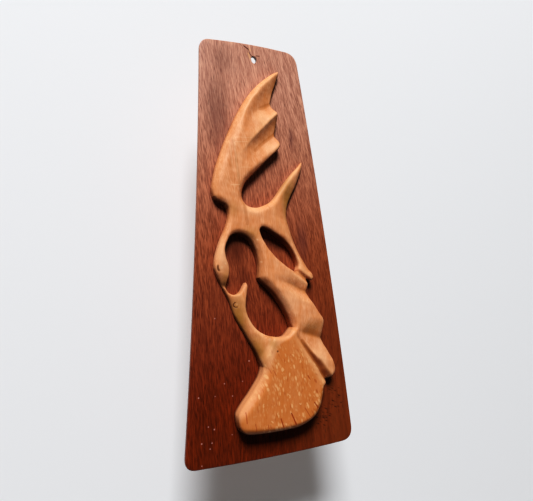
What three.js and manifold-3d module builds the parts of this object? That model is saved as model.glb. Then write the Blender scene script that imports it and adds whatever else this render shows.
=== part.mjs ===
// Carved wall panel: a thin tapered backboard with a nail hole, and one carved relief on its front.
// Millimetres. X to the right seen from the front, Z up, Y into the wall, so the front faces -Y.
// Drawings below are made in the board's plane, [x, z]: x from its centre line, z above its foot.
import * as THREE from 'three';
import { mergeVertices } from 'three/addons/utils/BufferGeometryUtils.js';
import Module from 'manifold-3d';

const wasm = await Module();
wasm.setup();

// Driving sizes of the backboard
const BOARD_HEIGHT = 343;
const BOARD_THICK = 4;
const TOP_HALF_WIDTH = 44.5;
const FOOT_HALF_WIDTH = 73.5;
const CORNER_RADIUS = 9;
const SIDE_BOW = 2.2; // both long sides lean out to the right by this much at mid height
const END_BOW = 1.2; // the top and the foot are slightly rounded

// Nail hole, a little wider at the back, where the drill broke out
const HOLE_X = 2.8;
const HOLE_DROP = 13.6; // from the board's top
const HOLE_FRONT_RADIUS = 2.95;
const HOLE_BACK_RADIUS = 3.6;
const HOLE_SEGMENTS = 32;

// The row's origin: the middle of the back face, a little under the nail hole
const MOUNT_BELOW_HOLE = 9.4;
const MOUNT_Z = BOARD_HEIGHT - HOLE_DROP - MOUNT_BELOW_HOLE;

// Carving: the blank it is cut from and the sampling of its face
const BLANK_THICK = 18;
const FACE_STEP = 3.2;
const CUT_STEP = 3.2; // spacing of the sections of a gouge cut or bevel
const SPOT_REACH = 8; // how far one height spot spreads into its neighbours
const WIDE_BEVEL = 2.2; // bevels narrower than this are left to the finishing
const OVERCUT = 0.12; // a cutter runs this share of its width past the face, so that it cuts clean
const OUTSIDE = 2; // and a bevel cutter this far past the outline
const SEAM = 0.7; // and past both ends of its stretch
const CLEARANCE = 0.05; // lifts the faint end of a gouge cut off the face
const SCOOP_FACETS = 6; // across a hollow scoop, both sides together
const PLAIN_FACETS = 2; // across a plain V or a bevel

// Fineness of drawn curves, and the distance under which vertices are one
const BOARD_CURVE_STEPS = 16;
const RELIEF_CURVE_STEPS = 2; // between two points of a stretch
const WELD = 1e-4;

// The relief's outline, clockwise. Each stretch is a smooth curve between two corners or seams.
// bevel: width and drop of the slope from the face down to the edge, at even steps along the stretch.
const OUTER_EDGE = [
  { part: 'wing tip, right side', bevel: [[1, 0.6], [1, 0.6]],
    points: [[23.6, 319.4], [23, 315], [21.5, 311], [19.3, 304.7], [17, 299], [15.3, 293.5], [14.2, 289.3]] },
  { part: 'second feather, upper side', bevel: [[1, 0.6], [1, 0.6]],
    points: [[14.2, 289.3], [15, 285.3], [16.6, 282.5], [18.2, 280]] },
  { part: 'second feather, right side', bevel: [[1, 0.6], [1, 0.6]],
    points: [[18.2, 280], [18.7, 277.3], [18.5, 273.6], [17.8, 270], [16.9, 266], [15.9, 262.6]] },
  { part: 'third feather', bevel: [[1, 0.6], [1.5, 1]],
    points: [[15.9, 262.6], [16, 259.6], [17.4, 257.3], [18.7, 254.5], [18.6, 251.3], [16, 247.2],
      [11.3, 243.1]] },
  { part: 'wing, lower edge', bevel: [[1.5, 1], [2.2, 1.6]],
    points: [[11.3, 243.1], [5.9, 238.2], [0.2, 232.9], [-4.7, 228.2], [-10, 223.2]] },
  { part: 'under the wing and up the small wing',
    bevel: [[2.2, 1.6], [5, 3], [2.6, 2.4], [2.2, 2], [1.6, 1.4]],
    points: [[-10, 223.2], [-14.3, 218.7], [-16.8, 214.2], [-18, 210], [-18.1, 206.3], [-17.2, 203.2],
      [-14.9, 200.2], [-11.4, 198.2], [-7.8, 197.7], [-4.3, 198], [0.1, 199.6], [4.5, 201.6], [8.5, 204],
      [12.6, 208.1], [15.9, 212.2], [19.6, 217.1], [24.9, 223.4], [30.3, 229.2], [35.8, 234.3],
      [41.5, 240.5]] },
  { part: 'small wing and tail strip, right edge', bevel: [[2.4, 1.2], [8, 2.8], [2.2, 1.4]],
    points: [[41.5, 240.5], [40.3, 234.5], [37.2, 226.5], [33.2, 218], [28.5, 210], [24.8, 203.5],
      [22.4, 196.5], [21.5, 189.5], [22.5, 182.7], [25, 173], [28.8, 163.5], [33.5, 154], [38.2, 146]] },
  { part: 'tail strip, end', bevel: [[1.4, 1], [1.4, 1]],
    points: [[38.2, 146], [40.6, 141.8], [40.9, 139], [39.4, 137.2], [37.2, 137], [35.2, 137.6]] },
  { part: 'flank, right edge', bevel: [[1.5, 1], [1.5, 1]],
    points: [[35.2, 137.6], [35.5, 134.5], [34.9, 131], [33.8, 127.2]] },
  { part: 'body, right edge', bevel: [[1.5, 1], [1.5, 1]],
    points: [[33.8, 127.2], [35.5, 121.6], [38.6, 116], [42, 110.6], [45.3, 105.6], [46.5, 102.2],
      [46.2, 98.6], [45.4, 94], [44.7, 88.4]] },
  { part: 'tail lobe', bevel: [[1.5, 1], [1.5, 1]],
    points: [[44.7, 88.4], [46.7, 83.4], [49.8, 77.3], [52.3, 72], [54.1, 66.7], [54.8, 62.8],
      [53.7, 59.7], [51.2, 57], [48.4, 55.2], [43.9, 52.5]] },
  { part: 'nest, right and lower edge', bevel: [[2, 1.6], [2, 1.6]],
    points: [[43.9, 52.5], [41.4, 51], [40.4, 48.6], [39.7, 45], [38.3, 39.8], [36.1, 34.5], [32.6, 29.4],
      [27.3, 25.7], [22, 23.5], [15, 21.8], [4.4, 21.3], [-6.1, 21.3], [-14.9, 21.5], [-23.7, 22.2],
      [-28.6, 23.4], [-31.2, 25.6]] },
  { part: 'nest, left edge', bevel: [[2, 1.6], [2, 1.6]],
    points: [[-31.2, 25.6], [-32.6, 28.7], [-33.3, 33], [-33.1, 37.2], [-31.1, 40.8], [-27, 45.8],
      [-22.4, 50.8], [-17.9, 56.3], [-13.8, 61.7], [-11.5, 66.3], [-10.4, 70.8]] },
  { part: 'chick, left edge', bevel: [[1, 0.6], [5, 2.8], [4.4, 2.4], [3.4, 2], [2.2, 1.2]],
    points: [[-10.4, 70.8], [-11.1, 73.7], [-12.9, 79.9], [-15.6, 86.2], [-18.8, 92.2], [-22.4, 99],
      [-26, 105.4], [-29.2, 112], [-31.2, 118], [-33.1, 124], [-35.4, 129], [-37.4, 133.2]] },
  { part: 'parent head, left edge', bevel: [[1.4, 1], [2.4, 2]],
    points: [[-37.4, 133.2], [-39.2, 137], [-41.3, 141.3], [-42.9, 146.7], [-43.5, 150.8], [-42.9, 156.8],
      [-41.5, 163.1], [-39.2, 169.4], [-36.5, 175.2], [-33.5, 181.3], [-31.5, 187], [-30.6, 192.2]] },
  { part: 'elbow, under side', bevel: [[2.4, 2], [3.2, 2.4], [4, 2.8]],
    points: [[-30.6, 192.2], [-31, 196.7], [-33.2, 200], [-37, 202.2], [-40, 204], [-42.2, 206.5]] },
  { part: 'elbow, left edge', bevel: [[4, 2.8], [3.4, 2.6]],
    points: [[-42.2, 206.5], [-42.9, 211.8], [-42, 218], [-38.8, 230], [-35, 240]] },
  { part: 'wing, leading edge', bevel: [[3.4, 2.6], [2.6, 2.6]],
    points: [[-35, 240], [-31.5, 248.6], [-27.8, 256.7], [-23.8, 264.8], [-19.7, 273], [-14.6, 281.9],
      [-10, 289.3], [-5, 296.1], [0, 301.8], [6.1, 307.6], [12.4, 312.7], [18.6, 317], [23.6, 319.4]] },
];

// The large opening between the parent, the chick and the body, drawn anticlockwise
const LARGE_OPENING = [
  { part: 'crown of the opening', bevel: [[2, 1.6], [2, 1.6]],
    points: [[-8.1, 140.8], [-7.5, 146], [-7.4, 153], [-9, 162], [-12.4, 169.6], [-16.5, 174], [-21, 176.3],
      [-25, 176.6], [-28.6, 175.5], [-31.2, 173.2], [-33, 170.4]] },
  { part: 'parent head, right edge', bevel: [[2, 1.6], [1.4, 1]],
    points: [[-33, 170.4], [-34.6, 167], [-35.4, 162.5], [-35, 156.5], [-34, 151.5], [-33.9, 147],
      [-34.3, 143], [-35, 138.5], [-35, 134]] },
  { part: 'chick mouth', bevel: [[1.4, 1], [1.4, 1]],
    points: [[-35, 134], [-34.4, 131.8], [-32.7, 129.6], [-30, 128.2], [-27, 128.4], [-24, 130.4],
      [-21.6, 134], [-19.2, 137.6]] },
  { part: 'chick, right edge', bevel: [[1.2, 1], [2.6, 2], [2.6, 2], [2.6, 2], [1.4, 1]],
    points: [[-19.2, 137.6], [-17.9, 135.2], [-17.9, 132], [-19, 126.8], [-20, 122.2], [-20.4, 117.8],
      [-19.7, 113.2], [-18, 108.5], [-15, 103.2], [-11.1, 98.6], [-5.7, 95.1], [0, 93.4], [5.7, 92.6],
      [10.3, 92.8], [13, 94.6], [15.8, 97.4], [17.9, 99.6]] },
  { part: 'body, left edge', bevel: [[1, 0.6], [2.6, 2], [2.4, 1.8], [2, 1.6]],
    points: [[17.9, 99.6], [16.2, 105.8], [13.9, 111.3], [11.2, 116.8], [8.3, 121.4], [4.9, 126.4],
      [1.4, 130.6], [-2.4, 134.3], [-6.1, 137.8], [-8.1, 140.8]] },
];

// The leaf-shaped hole between the body and the tail strip, drawn the same way round
const LEAF_HOLE = [
  { part: 'leaf hole, lower edge', bevel: [[1.6, 1.2], [1.6, 1.2]],
    points: [[-5.8, 178.6], [-4.7, 174.2], [-2.6, 169.6], [0.2, 164.6], [3.7, 160], [7.2, 155.8],
      [11.7, 152], [16, 148.6], [20.5, 145.9], [24.2, 144.3], [26.3, 144.8]] },
  { part: 'leaf hole, upper edge', bevel: [[1.6, 1.2], [1.6, 1.2]],
    points: [[26.3, 144.8], [27.7, 149.6], [26.9, 155], [25.1, 159.4], [22.4, 163.9], [18.6, 168.6],
      [13.9, 172.5], [7.7, 176.3], [2.4, 179.3], [-2.1, 181], [-4.4, 180.8], [-5.8, 178.6]] },
];

// Height of the face above the board, read at spots: [x, z, height]
const HEIGHT_SPOTS = [
  // wing
  [23, 318, 6], [13, 311, 8], [5, 303, 9.2], [-4, 291, 10], [-14, 274, 10.5], [17, 280, 9.2],
  [8, 272, 10], [-4, 262, 10.8], [17, 252, 9.2], [6, 243, 9.8], [-6, 231, 10.3], [-24, 255, 10.6],
  [-33, 236, 9.8], [-38, 222, 9.4], [-39, 211, 8.6], [-18, 238, 11.2], [-26, 222, 11.3], [-17, 221, 10.6],
  // shoulder and small wing
  [-28, 207, 10.6], [-24, 198, 10.4], [-27, 188, 9.6], [-20, 183, 10], [-12, 192, 11.2], [0, 194, 11],
  [-2, 186, 11.8], [12, 192, 10.8], [14, 180, 10.4], [19, 188, 10], [20, 208, 9.8], [28, 220, 8.4],
  [35, 229, 7], [41, 239, 5.4],
  // tail strip
  [23, 176, 9.2], [27, 164, 8.8], [33, 152, 8.6], [38.5, 142, 8.4],
  // parent head
  [-31, 180, 9.2], [-36, 168, 8.8], [-39, 157, 9], [-38.5, 149, 8.8], [-37.5, 142, 7.2], [-36.5, 135, 4.6],
  // body
  [-12, 178, 11.4], [-9, 168, 11.8], [-3, 158, 12.2], [-3, 146, 12.4], [3, 140, 12.4], [9, 150, 12.2],
  [17, 142, 12.2], [26, 138, 11.6], [32, 133, 11.2], [10, 128, 12.8], [20, 124, 13], [32, 118, 12.8],
  [14, 116, 13.2], [24, 110, 13.5], [38, 110, 12.8], [43, 104, 12.4], [32, 102, 13.2], [22, 101, 13],
  // tail lobe
  [30, 92, 13], [40, 86, 12.6], [46, 80, 12.2], [44, 72, 12.2], [50, 66, 11.2], [52, 60, 10.4],
  // chick
  [-14, 80, 8.6], [-6, 87, 9.8], [-20, 92, 8.6], [-12, 97, 9.8], [-25, 104, 8.6], [-19, 107, 9.2],
  [-28, 115, 8.2], [-22, 117, 8.8], [-29, 124, 7.6], [-23, 125, 8], [-20, 131, 7.2], [-19.3, 136, 6.2],
  [-34, 130.5, 4.8],
  // nest
  [12, 85, 13.6], [10, 70, 14], [25, 75, 14], [0, 60, 14], [20, 50, 14], [-15, 45, 14], [-24, 34, 13.6],
  [5, 32, 14], [30, 38, 13.8], [36, 58, 13.6],
];

// The nest's flat face, raised over the chick's neck and the tail lobe, with a sloping flank
const NEST_TOP = 14;
const NEST_FLANK = { width: 4, drop: 8 };
const NEST_FACE = [[12, 96], [5, 90.5], [0, 85.5], [-4, 80.5], [-7.5, 75.5], [-10.5, 70], [-45, 62],
  [-45, 10], [60, 10], [48, 56], [44, 65], [37, 74], [26, 86], [18, 95]];

// Gouge cuts: stations [x, z, depth, width on the right, width on the left] along the deepest line,
// right and left as seen going along it. bend, right and left: 1 is a plain V, more is a hollow scoop.
const CUTS = [
  { part: 'first feather', bend: [2.4, 1.2],
    stations: [[32, 306, 5, 15, 9], [23.1, 297.6, 5, 15.7, 9.3], [14.2, 289.3, 5, 16.4, 9.6],
      [8.5, 285.6, 4.8, 14.5, 11], [1.8, 282.4, 3.8, 10.6, 13.6], [-4, 277.5, 2.8, 7.5, 14.4],
      [-8.2, 269.7, 1.6, 7, 12], [-14, 261, 0, 6, 8]] },
  { part: 'second feather', bend: [2.2, 1.2],
    stations: [[30, 275.8, 5, 11, 10], [23, 269.2, 5, 11, 10.2], [15.9, 262.6, 5, 11, 10.4],
      [9.1, 257.5, 4.6, 10, 11], [3.6, 252.9, 4, 9.3, 12], [-1.2, 249.2, 3.2, 8.5, 12],
      [-6, 244.4, 2.2, 8, 12], [-11, 239.6, 1.1, 7.5, 11], [-17, 234, 0, 7, 9]] },
  { part: 'flank fold', bend: [1, 1],
    stations: [[42, 124, 4, 6, 7], [34, 127.1, 4, 7, 7], [29.2, 128.7, 3.8, 7.5, 7],
      [23.6, 131.8, 3.2, 7, 6.5], [18, 134.4, 2.4, 6, 6], [13, 135.8, 1.4, 5, 5], [3, 138.6, 0, 4, 4]] },
  { part: 'tail fold', bend: [1, 1],
    stations: [[52, 86, 4.6, 13, 7], [44.7, 88.4, 4.6, 13, 7], [36.9, 91.9, 4, 12, 6.5],
      [32, 93.3, 3.2, 11, 6], [27.2, 94.6, 2, 9, 5], [20, 97, 0, 7, 4]] },
  { part: 'groove beside the nest', bend: [1, 1],
    stations: [[49, 54, 6, 2.6, 5.5], [46.4, 60.5, 5.8, 2.6, 5.5], [43.6, 66.5, 5.4, 2.6, 5.5],
      [38.4, 73.6, 4.6, 2.5, 5], [32.5, 79.9, 3.6, 2.5, 4.5], [26.6, 86.2, 2.4, 2.4, 4],
      [20.5, 93.5, 0.6, 2.2, 3]] },
  { part: 'end of the tail strip', bend: [1, 1],
    stations: [[25.5, 145.6, 2.6, 4.5, 2], [30.5, 141.5, 3.2, 4.5, 2], [36.5, 136.8, 3.6, 4.5, 2]] },
];

const { clamp, lerp } = THREE.MathUtils;

// A closed path through smooth stretches
function drawPath(path, stretches) {
  path.moveTo(...stretches[0].points[0]);
  for (const { points } of stretches) {
    path.splineThru(points.slice(1).map(([x, z]) => new THREE.Vector2(x, z)));
  }
  return path;
}

// Smooth height through the spots: each one weighs in by a bell curve of its distance
function spotHeight(x, z) {
  let sum = 0;
  let weight = 0;
  for (const [sx, sz, height] of HEIGHT_SPOTS) {
    const w = Math.exp(-((x - sx) ** 2 + (z - sz) ** 2) / (2 * SPOT_REACH ** 2)) + 1e-9;
    sum += w * height;
    weight += w;
  }
  return sum / weight;
}

// Geometry to solid and back
function toSolid(geometry) {
  const bare = geometry.clone();
  bare.deleteAttribute('normal');
  bare.deleteAttribute('uv');
  const merged = mergeVertices(bare, WELD);
  return new wasm.Manifold(new wasm.Mesh({
    numProp: 3,
    vertProperties: new Float32Array(merged.attributes.position.array),
    triVerts: new Uint32Array(merged.index.array),
  }));
}

function toGeometry(solid) {
  const { vertProperties, triVerts } = solid.getMesh();
  const geometry = new THREE.BufferGeometry();
  geometry.setAttribute('position', new THREE.BufferAttribute(new Float32Array(vertProperties), 3));
  geometry.setIndex(new THREE.BufferAttribute(new Uint32Array(triVerts), 1));
  return geometry;
}

// Half the board's sharp-cornered outline, without its bows
function halfWidth(z) {
  return lerp(FOOT_HALF_WIDTH, TOP_HALF_WIDTH, z / BOARD_HEIGHT);
}

// Backboard outline: four bowed sides, joined by rounded corners
function boardShape() {
  const low = END_BOW;
  const high = BOARD_HEIGHT - END_BOW;
  const lowCorner = low + CORNER_RADIUS;
  const highCorner = high - CORNER_RADIUS;
  const middle = BOARD_HEIGHT / 2;
  const footX = halfWidth(low);
  const topX = halfWidth(high);
  const bowX = 2 * SIDE_BOW;
  const shape = new THREE.Shape();
  shape.moveTo(-footX + CORNER_RADIUS, low);
  shape.quadraticCurveTo(0, low - 2 * END_BOW, footX - CORNER_RADIUS, low);
  shape.quadraticCurveTo(footX, low, halfWidth(lowCorner), lowCorner);
  shape.quadraticCurveTo(halfWidth(middle) + bowX, middle, halfWidth(highCorner), highCorner);
  shape.quadraticCurveTo(topX, high, topX - CORNER_RADIUS, high);
  shape.quadraticCurveTo(0, high + 2 * END_BOW, -topX + CORNER_RADIUS, high);
  shape.quadraticCurveTo(-topX, high, -halfWidth(highCorner), highCorner);
  shape.quadraticCurveTo(-halfWidth(middle) + bowX, middle, -halfWidth(lowCorner), lowCorner);
  shape.quadraticCurveTo(-footX, low, -footX + CORNER_RADIUS, low);
  return shape;
}

// Turn a drawing made in the board's plane upright, its depth towards the viewer
function standUp(geometry, front) {
  geometry.rotateX(Math.PI / 2);
  geometry.translate(0, front, -MOUNT_Z);
  return geometry;
}

function backboardGeometry() {
  const slab = new THREE.ExtrudeGeometry(boardShape(), {
    depth: BOARD_THICK, bevelEnabled: false, curveSegments: BOARD_CURVE_STEPS,
  });
  const margin = 1;
  const flare = (HOLE_BACK_RADIUS - HOLE_FRONT_RADIUS) / BOARD_THICK;
  const drill = new THREE.CylinderGeometry(
    HOLE_FRONT_RADIUS - flare * margin, HOLE_BACK_RADIUS + flare * margin,
    BOARD_THICK + 2 * margin, HOLE_SEGMENTS);
  drill.rotateX(Math.PI / 2);
  drill.translate(HOLE_X, BOARD_HEIGHT - HOLE_DROP, BOARD_THICK / 2);
  return standUp(toGeometry(toSolid(slab).subtract(toSolid(drill))), 0);
}

// A block over the whole relief, its top face lifted to the smooth height
function faceBlock(bounds) {
  const size = bounds.getSize(new THREE.Vector2());
  const centre = bounds.getCenter(new THREE.Vector2());
  const block = new THREE.BoxGeometry(size.x, size.y, 1,
    Math.round(size.x / FACE_STEP), Math.round(size.y / FACE_STEP), 1);
  block.translate(centre.x, centre.y, 0);
  const position = block.attributes.position;
  for (let i = 0; i < position.count; i++) {
    const onTop = position.getZ(i) > 0;
    position.setZ(i, onTop ? spotHeight(position.getX(i), position.getY(i)) : -1);
  }
  return block;
}

// The nest: its flat face on a sloping flank
function nestBlock() {
  const { width, drop } = NEST_FLANK;
  const shape = new THREE.Shape(NEST_FACE.map(([x, z]) => new THREE.Vector2(x, z)));
  return new THREE.ExtrudeGeometry(shape, {
    depth: NEST_TOP - drop, bevelEnabled: true, bevelThickness: drop, bevelSize: width, bevelSegments: 1,
    bevelOffset: -width,
  });
}

// A cutter along a curve, t from 0 to 1. section(t, side) is how far it reaches from the curve, side
// running from -1 on the left to 1 on the right, and drop(t, reach) how far it cuts below the face.
function cutter(curve, across, section, drop) {
  const along = Math.max(3, Math.round(curve.getLength() / CUT_STEP));
  const block = new THREE.BoxGeometry(1, 1, 1, across, along, 1);
  const position = block.attributes.position;
  for (let i = 0; i < position.count; i++) {
    const t = clamp(position.getY(i) + 0.5, 0, 1);
    const place = curve.getPointAt(t);
    const ahead = curve.getTangentAt(t);
    if (t === 0) place.addScaledVector(ahead, -SEAM);
    if (t === 1) place.addScaledVector(ahead, SEAM);
    const reach = section(t, 2 * position.getX(i));
    const x = place.x + ahead.y * reach;
    const z = place.y - ahead.x * reach;
    const height = position.getZ(i) > 0 ? BLANK_THICK + 1 : spotHeight(x, z) - drop(t, reach);
    position.setXYZ(i, x, z, height);
  }
  return block;
}

// Value number k of a list of stations, between two of them
function between(stations, place, k) {
  const i = Math.min(Math.floor(place), stations.length - 2);
  return lerp(stations[i][k], stations[i + 1][k], place - i);
}

// A gouge cut: a V or a hollow scoop, as wide and deep as its stations say
function gougeCutter({ stations, bend }) {
  const curve = new THREE.SplineCurve(stations.map(([x, z]) => new THREE.Vector2(x, z)));
  const at = (t, k) => between(stations, curve.getUtoTmapping(t) * (stations.length - 1), k);
  const width = (t, side) => at(t, side > 0 ? 3 : 4);
  const section = (t, side) => side * (1 + OVERCUT) * width(t, side);
  const drop = (t, reach) => {
    const share = Math.abs(reach) / width(t, reach);
    return at(t, 2) * (1 - share ** (reach > 0 ? bend[0] : bend[1])) - CLEARANCE;
  };
  return cutter(curve, Math.max(...bend) > 1 ? SCOOP_FACETS : PLAIN_FACETS, section, drop);
}

// A bevel cutter: it slopes from the face down to the edge, and runs on outside the outline
function bevelCutter({ points, bevel }) {
  const curve = new THREE.SplineCurve(points.map(([x, z]) => new THREE.Vector2(x, z)));
  const at = (t, k) => between(bevel, t * (bevel.length - 1), k);
  const section = (t, side) => (side < 0 ? side * OUTSIDE : side * (1 + OVERCUT) * at(t, 0));
  const drop = (t, reach) => at(t, 1) * (1 - reach / at(t, 0));
  return cutter(curve, PLAIN_FACETS, section, drop);
}

function carvingGeometry() {
  const shape = drawPath(new THREE.Shape(), OUTER_EDGE);
  const bounds = new THREE.Box2().setFromPoints(shape.getPoints(1)).expandByScalar(FACE_STEP);
  shape.holes.push(drawPath(new THREE.Path(), LARGE_OPENING), drawPath(new THREE.Path(), LEAF_HOLE));
  const blank = new THREE.ExtrudeGeometry(shape, {
    depth: BLANK_THICK, bevelEnabled: false, curveSegments: RELIEF_CURVE_STEPS,
  });
  let solid = toSolid(faceBlock(bounds)).add(toSolid(nestBlock())).intersect(toSolid(blank));
  const wide = [...OUTER_EDGE, ...LARGE_OPENING, ...LEAF_HOLE].filter(({ bevel }) =>
    Math.max(...bevel.map(([width]) => width)) >= WIDE_BEVEL);
  for (const cut of [...CUTS.map(gougeCutter), ...wide.map(bevelCutter)]) {
    solid = solid.subtract(toSolid(cut));
  }
  return standUp(toGeometry(solid), -BOARD_THICK);
}

function mesh(name, geometry, color, roughness) {
  const material = new THREE.MeshStandardMaterial({ color, roughness, metalness: 0 });
  const item = new THREE.Mesh(geometry, material);
  item.name = name;
  return item;
}

const panel = new THREE.Group();
panel.name = 'carved_wall_panel';
panel.add(mesh('backboard', backboardGeometry(), 0x7a3322, 0.45));
panel.add(mesh('carving', carvingGeometry(), 0xcf8d5a, 0.55));

export default panel;
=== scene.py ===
# %% [markdown]
# # A carved wall panel
# The real object is two pieces of wood. A thin board of dark, red-brown wood hangs on a nail, and a
# light wooden relief is glued on its front: a stylised bird with a raised wing that bends down to
# feed its young, above a rounded nest. This lesson builds both as numpy surfaces, gives each wood a
# procedural finish, and lights the panel softly in front of a pale backdrop.

import bpy
import numpy as np
from mathutils import Matrix, Vector, geometry


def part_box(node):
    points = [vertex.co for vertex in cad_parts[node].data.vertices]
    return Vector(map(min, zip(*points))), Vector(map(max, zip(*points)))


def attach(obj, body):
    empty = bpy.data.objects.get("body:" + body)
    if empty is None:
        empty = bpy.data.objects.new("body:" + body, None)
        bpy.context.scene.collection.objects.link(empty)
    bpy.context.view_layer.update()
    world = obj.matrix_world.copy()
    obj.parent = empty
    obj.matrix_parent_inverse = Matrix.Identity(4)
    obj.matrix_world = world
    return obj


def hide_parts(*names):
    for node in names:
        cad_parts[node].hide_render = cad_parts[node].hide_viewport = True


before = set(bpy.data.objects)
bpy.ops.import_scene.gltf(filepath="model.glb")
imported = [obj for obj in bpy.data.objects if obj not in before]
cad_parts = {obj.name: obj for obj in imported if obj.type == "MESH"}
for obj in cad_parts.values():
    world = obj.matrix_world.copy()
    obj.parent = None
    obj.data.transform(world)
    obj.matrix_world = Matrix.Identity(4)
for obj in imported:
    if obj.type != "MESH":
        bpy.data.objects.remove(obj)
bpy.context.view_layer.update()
MM = 0.001
print("CAD nodes:", sorted(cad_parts))

# %% [markdown]
# ## Drawing space
# The relief is easiest to draw flat, in millimetres, as a carver would on the board: x from the
# board's centre line, z above its foot, and height above the board's front face. The frame tells
# where that drawing sits, so nothing here has to be fitted by eye.

# %% Board sizes, read from the frame
board_low, board_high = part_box("backboard")
FOOT_Z = board_low.z / MM
BOARD_HEIGHT = (board_high.z - board_low.z) / MM
BOARD_THICK = (board_high.y - board_low.y) / MM
print(f"board {BOARD_HEIGHT:.1f} mm tall, {BOARD_THICK:.1f} mm thick, foot at {FOOT_Z:.1f} mm")


def to_frame(x, z, height):
    """Drawing to frame, in metres: z counts from the board's foot, height towards the viewer."""
    return np.stack([x, -(BOARD_THICK + height), z + FOOT_Z], axis=-1) * MM


# %% [markdown]
# ## Smooth lines
# Carved outlines have long flowing stretches between a few corners. Each stretch is a chain of cubic
# curves through given points: it passes through every point, and its slope there is half the step
# between the two neighbours. That keeps the drawing short and the edge smooth.

# %% Curves through points
LINE_STEP = 0.4


def smooth_line(points, step=LINE_STEP):
    """From b to c: (2b - 2c + m + n) t^3 + (3c - 3b - 2m - n) t^2 + m t + b, with end slopes m and n.

    Gives the samples, and each one's place as a point's number plus the share t of the way to the next.
    """
    p = np.array(points, float)
    p = np.vstack([p[0], p, p[-1]])
    spans = np.linalg.norm(np.diff(p[1:-1], axis=0), axis=1)
    counts = np.maximum(2, np.ceil(spans / step).astype(int))
    first = np.repeat(np.arange(len(counts)), counts)
    share = np.concatenate([np.arange(n) / n for n in counts])
    a, b, c, d = (p[first + k] for k in range(4))
    leave, arrive = (c - a) / 2, (d - b) / 2
    t = share[:, None]
    cubed = 2 * b - 2 * c + leave + arrive
    squared = 3 * c - 3 * b - 2 * leave - arrive
    curve = cubed * t**3 + squared * t**2 + leave * t + b
    return np.vstack([curve, p[-2]]), np.append(first + share, len(counts))


def reach_along(line):
    """How far along the line each sample lies, in mm: the sum of the steps before it."""
    return np.concatenate([[0], np.cumsum(np.linalg.norm(np.diff(line, axis=0), axis=1))])


# %% [markdown]
# ## The relief's outline
# On the real piece this is a saw cut through a 14 mm blank, softened with a knife. Every stretch
# also says how its upper edge is worn down: the width and drop of the bevel, at even steps along.
# A stretch starts at the last point of the one before it, so no corner is written twice. The outer
# edge runs clockwise and both openings run the other way round.

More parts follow.
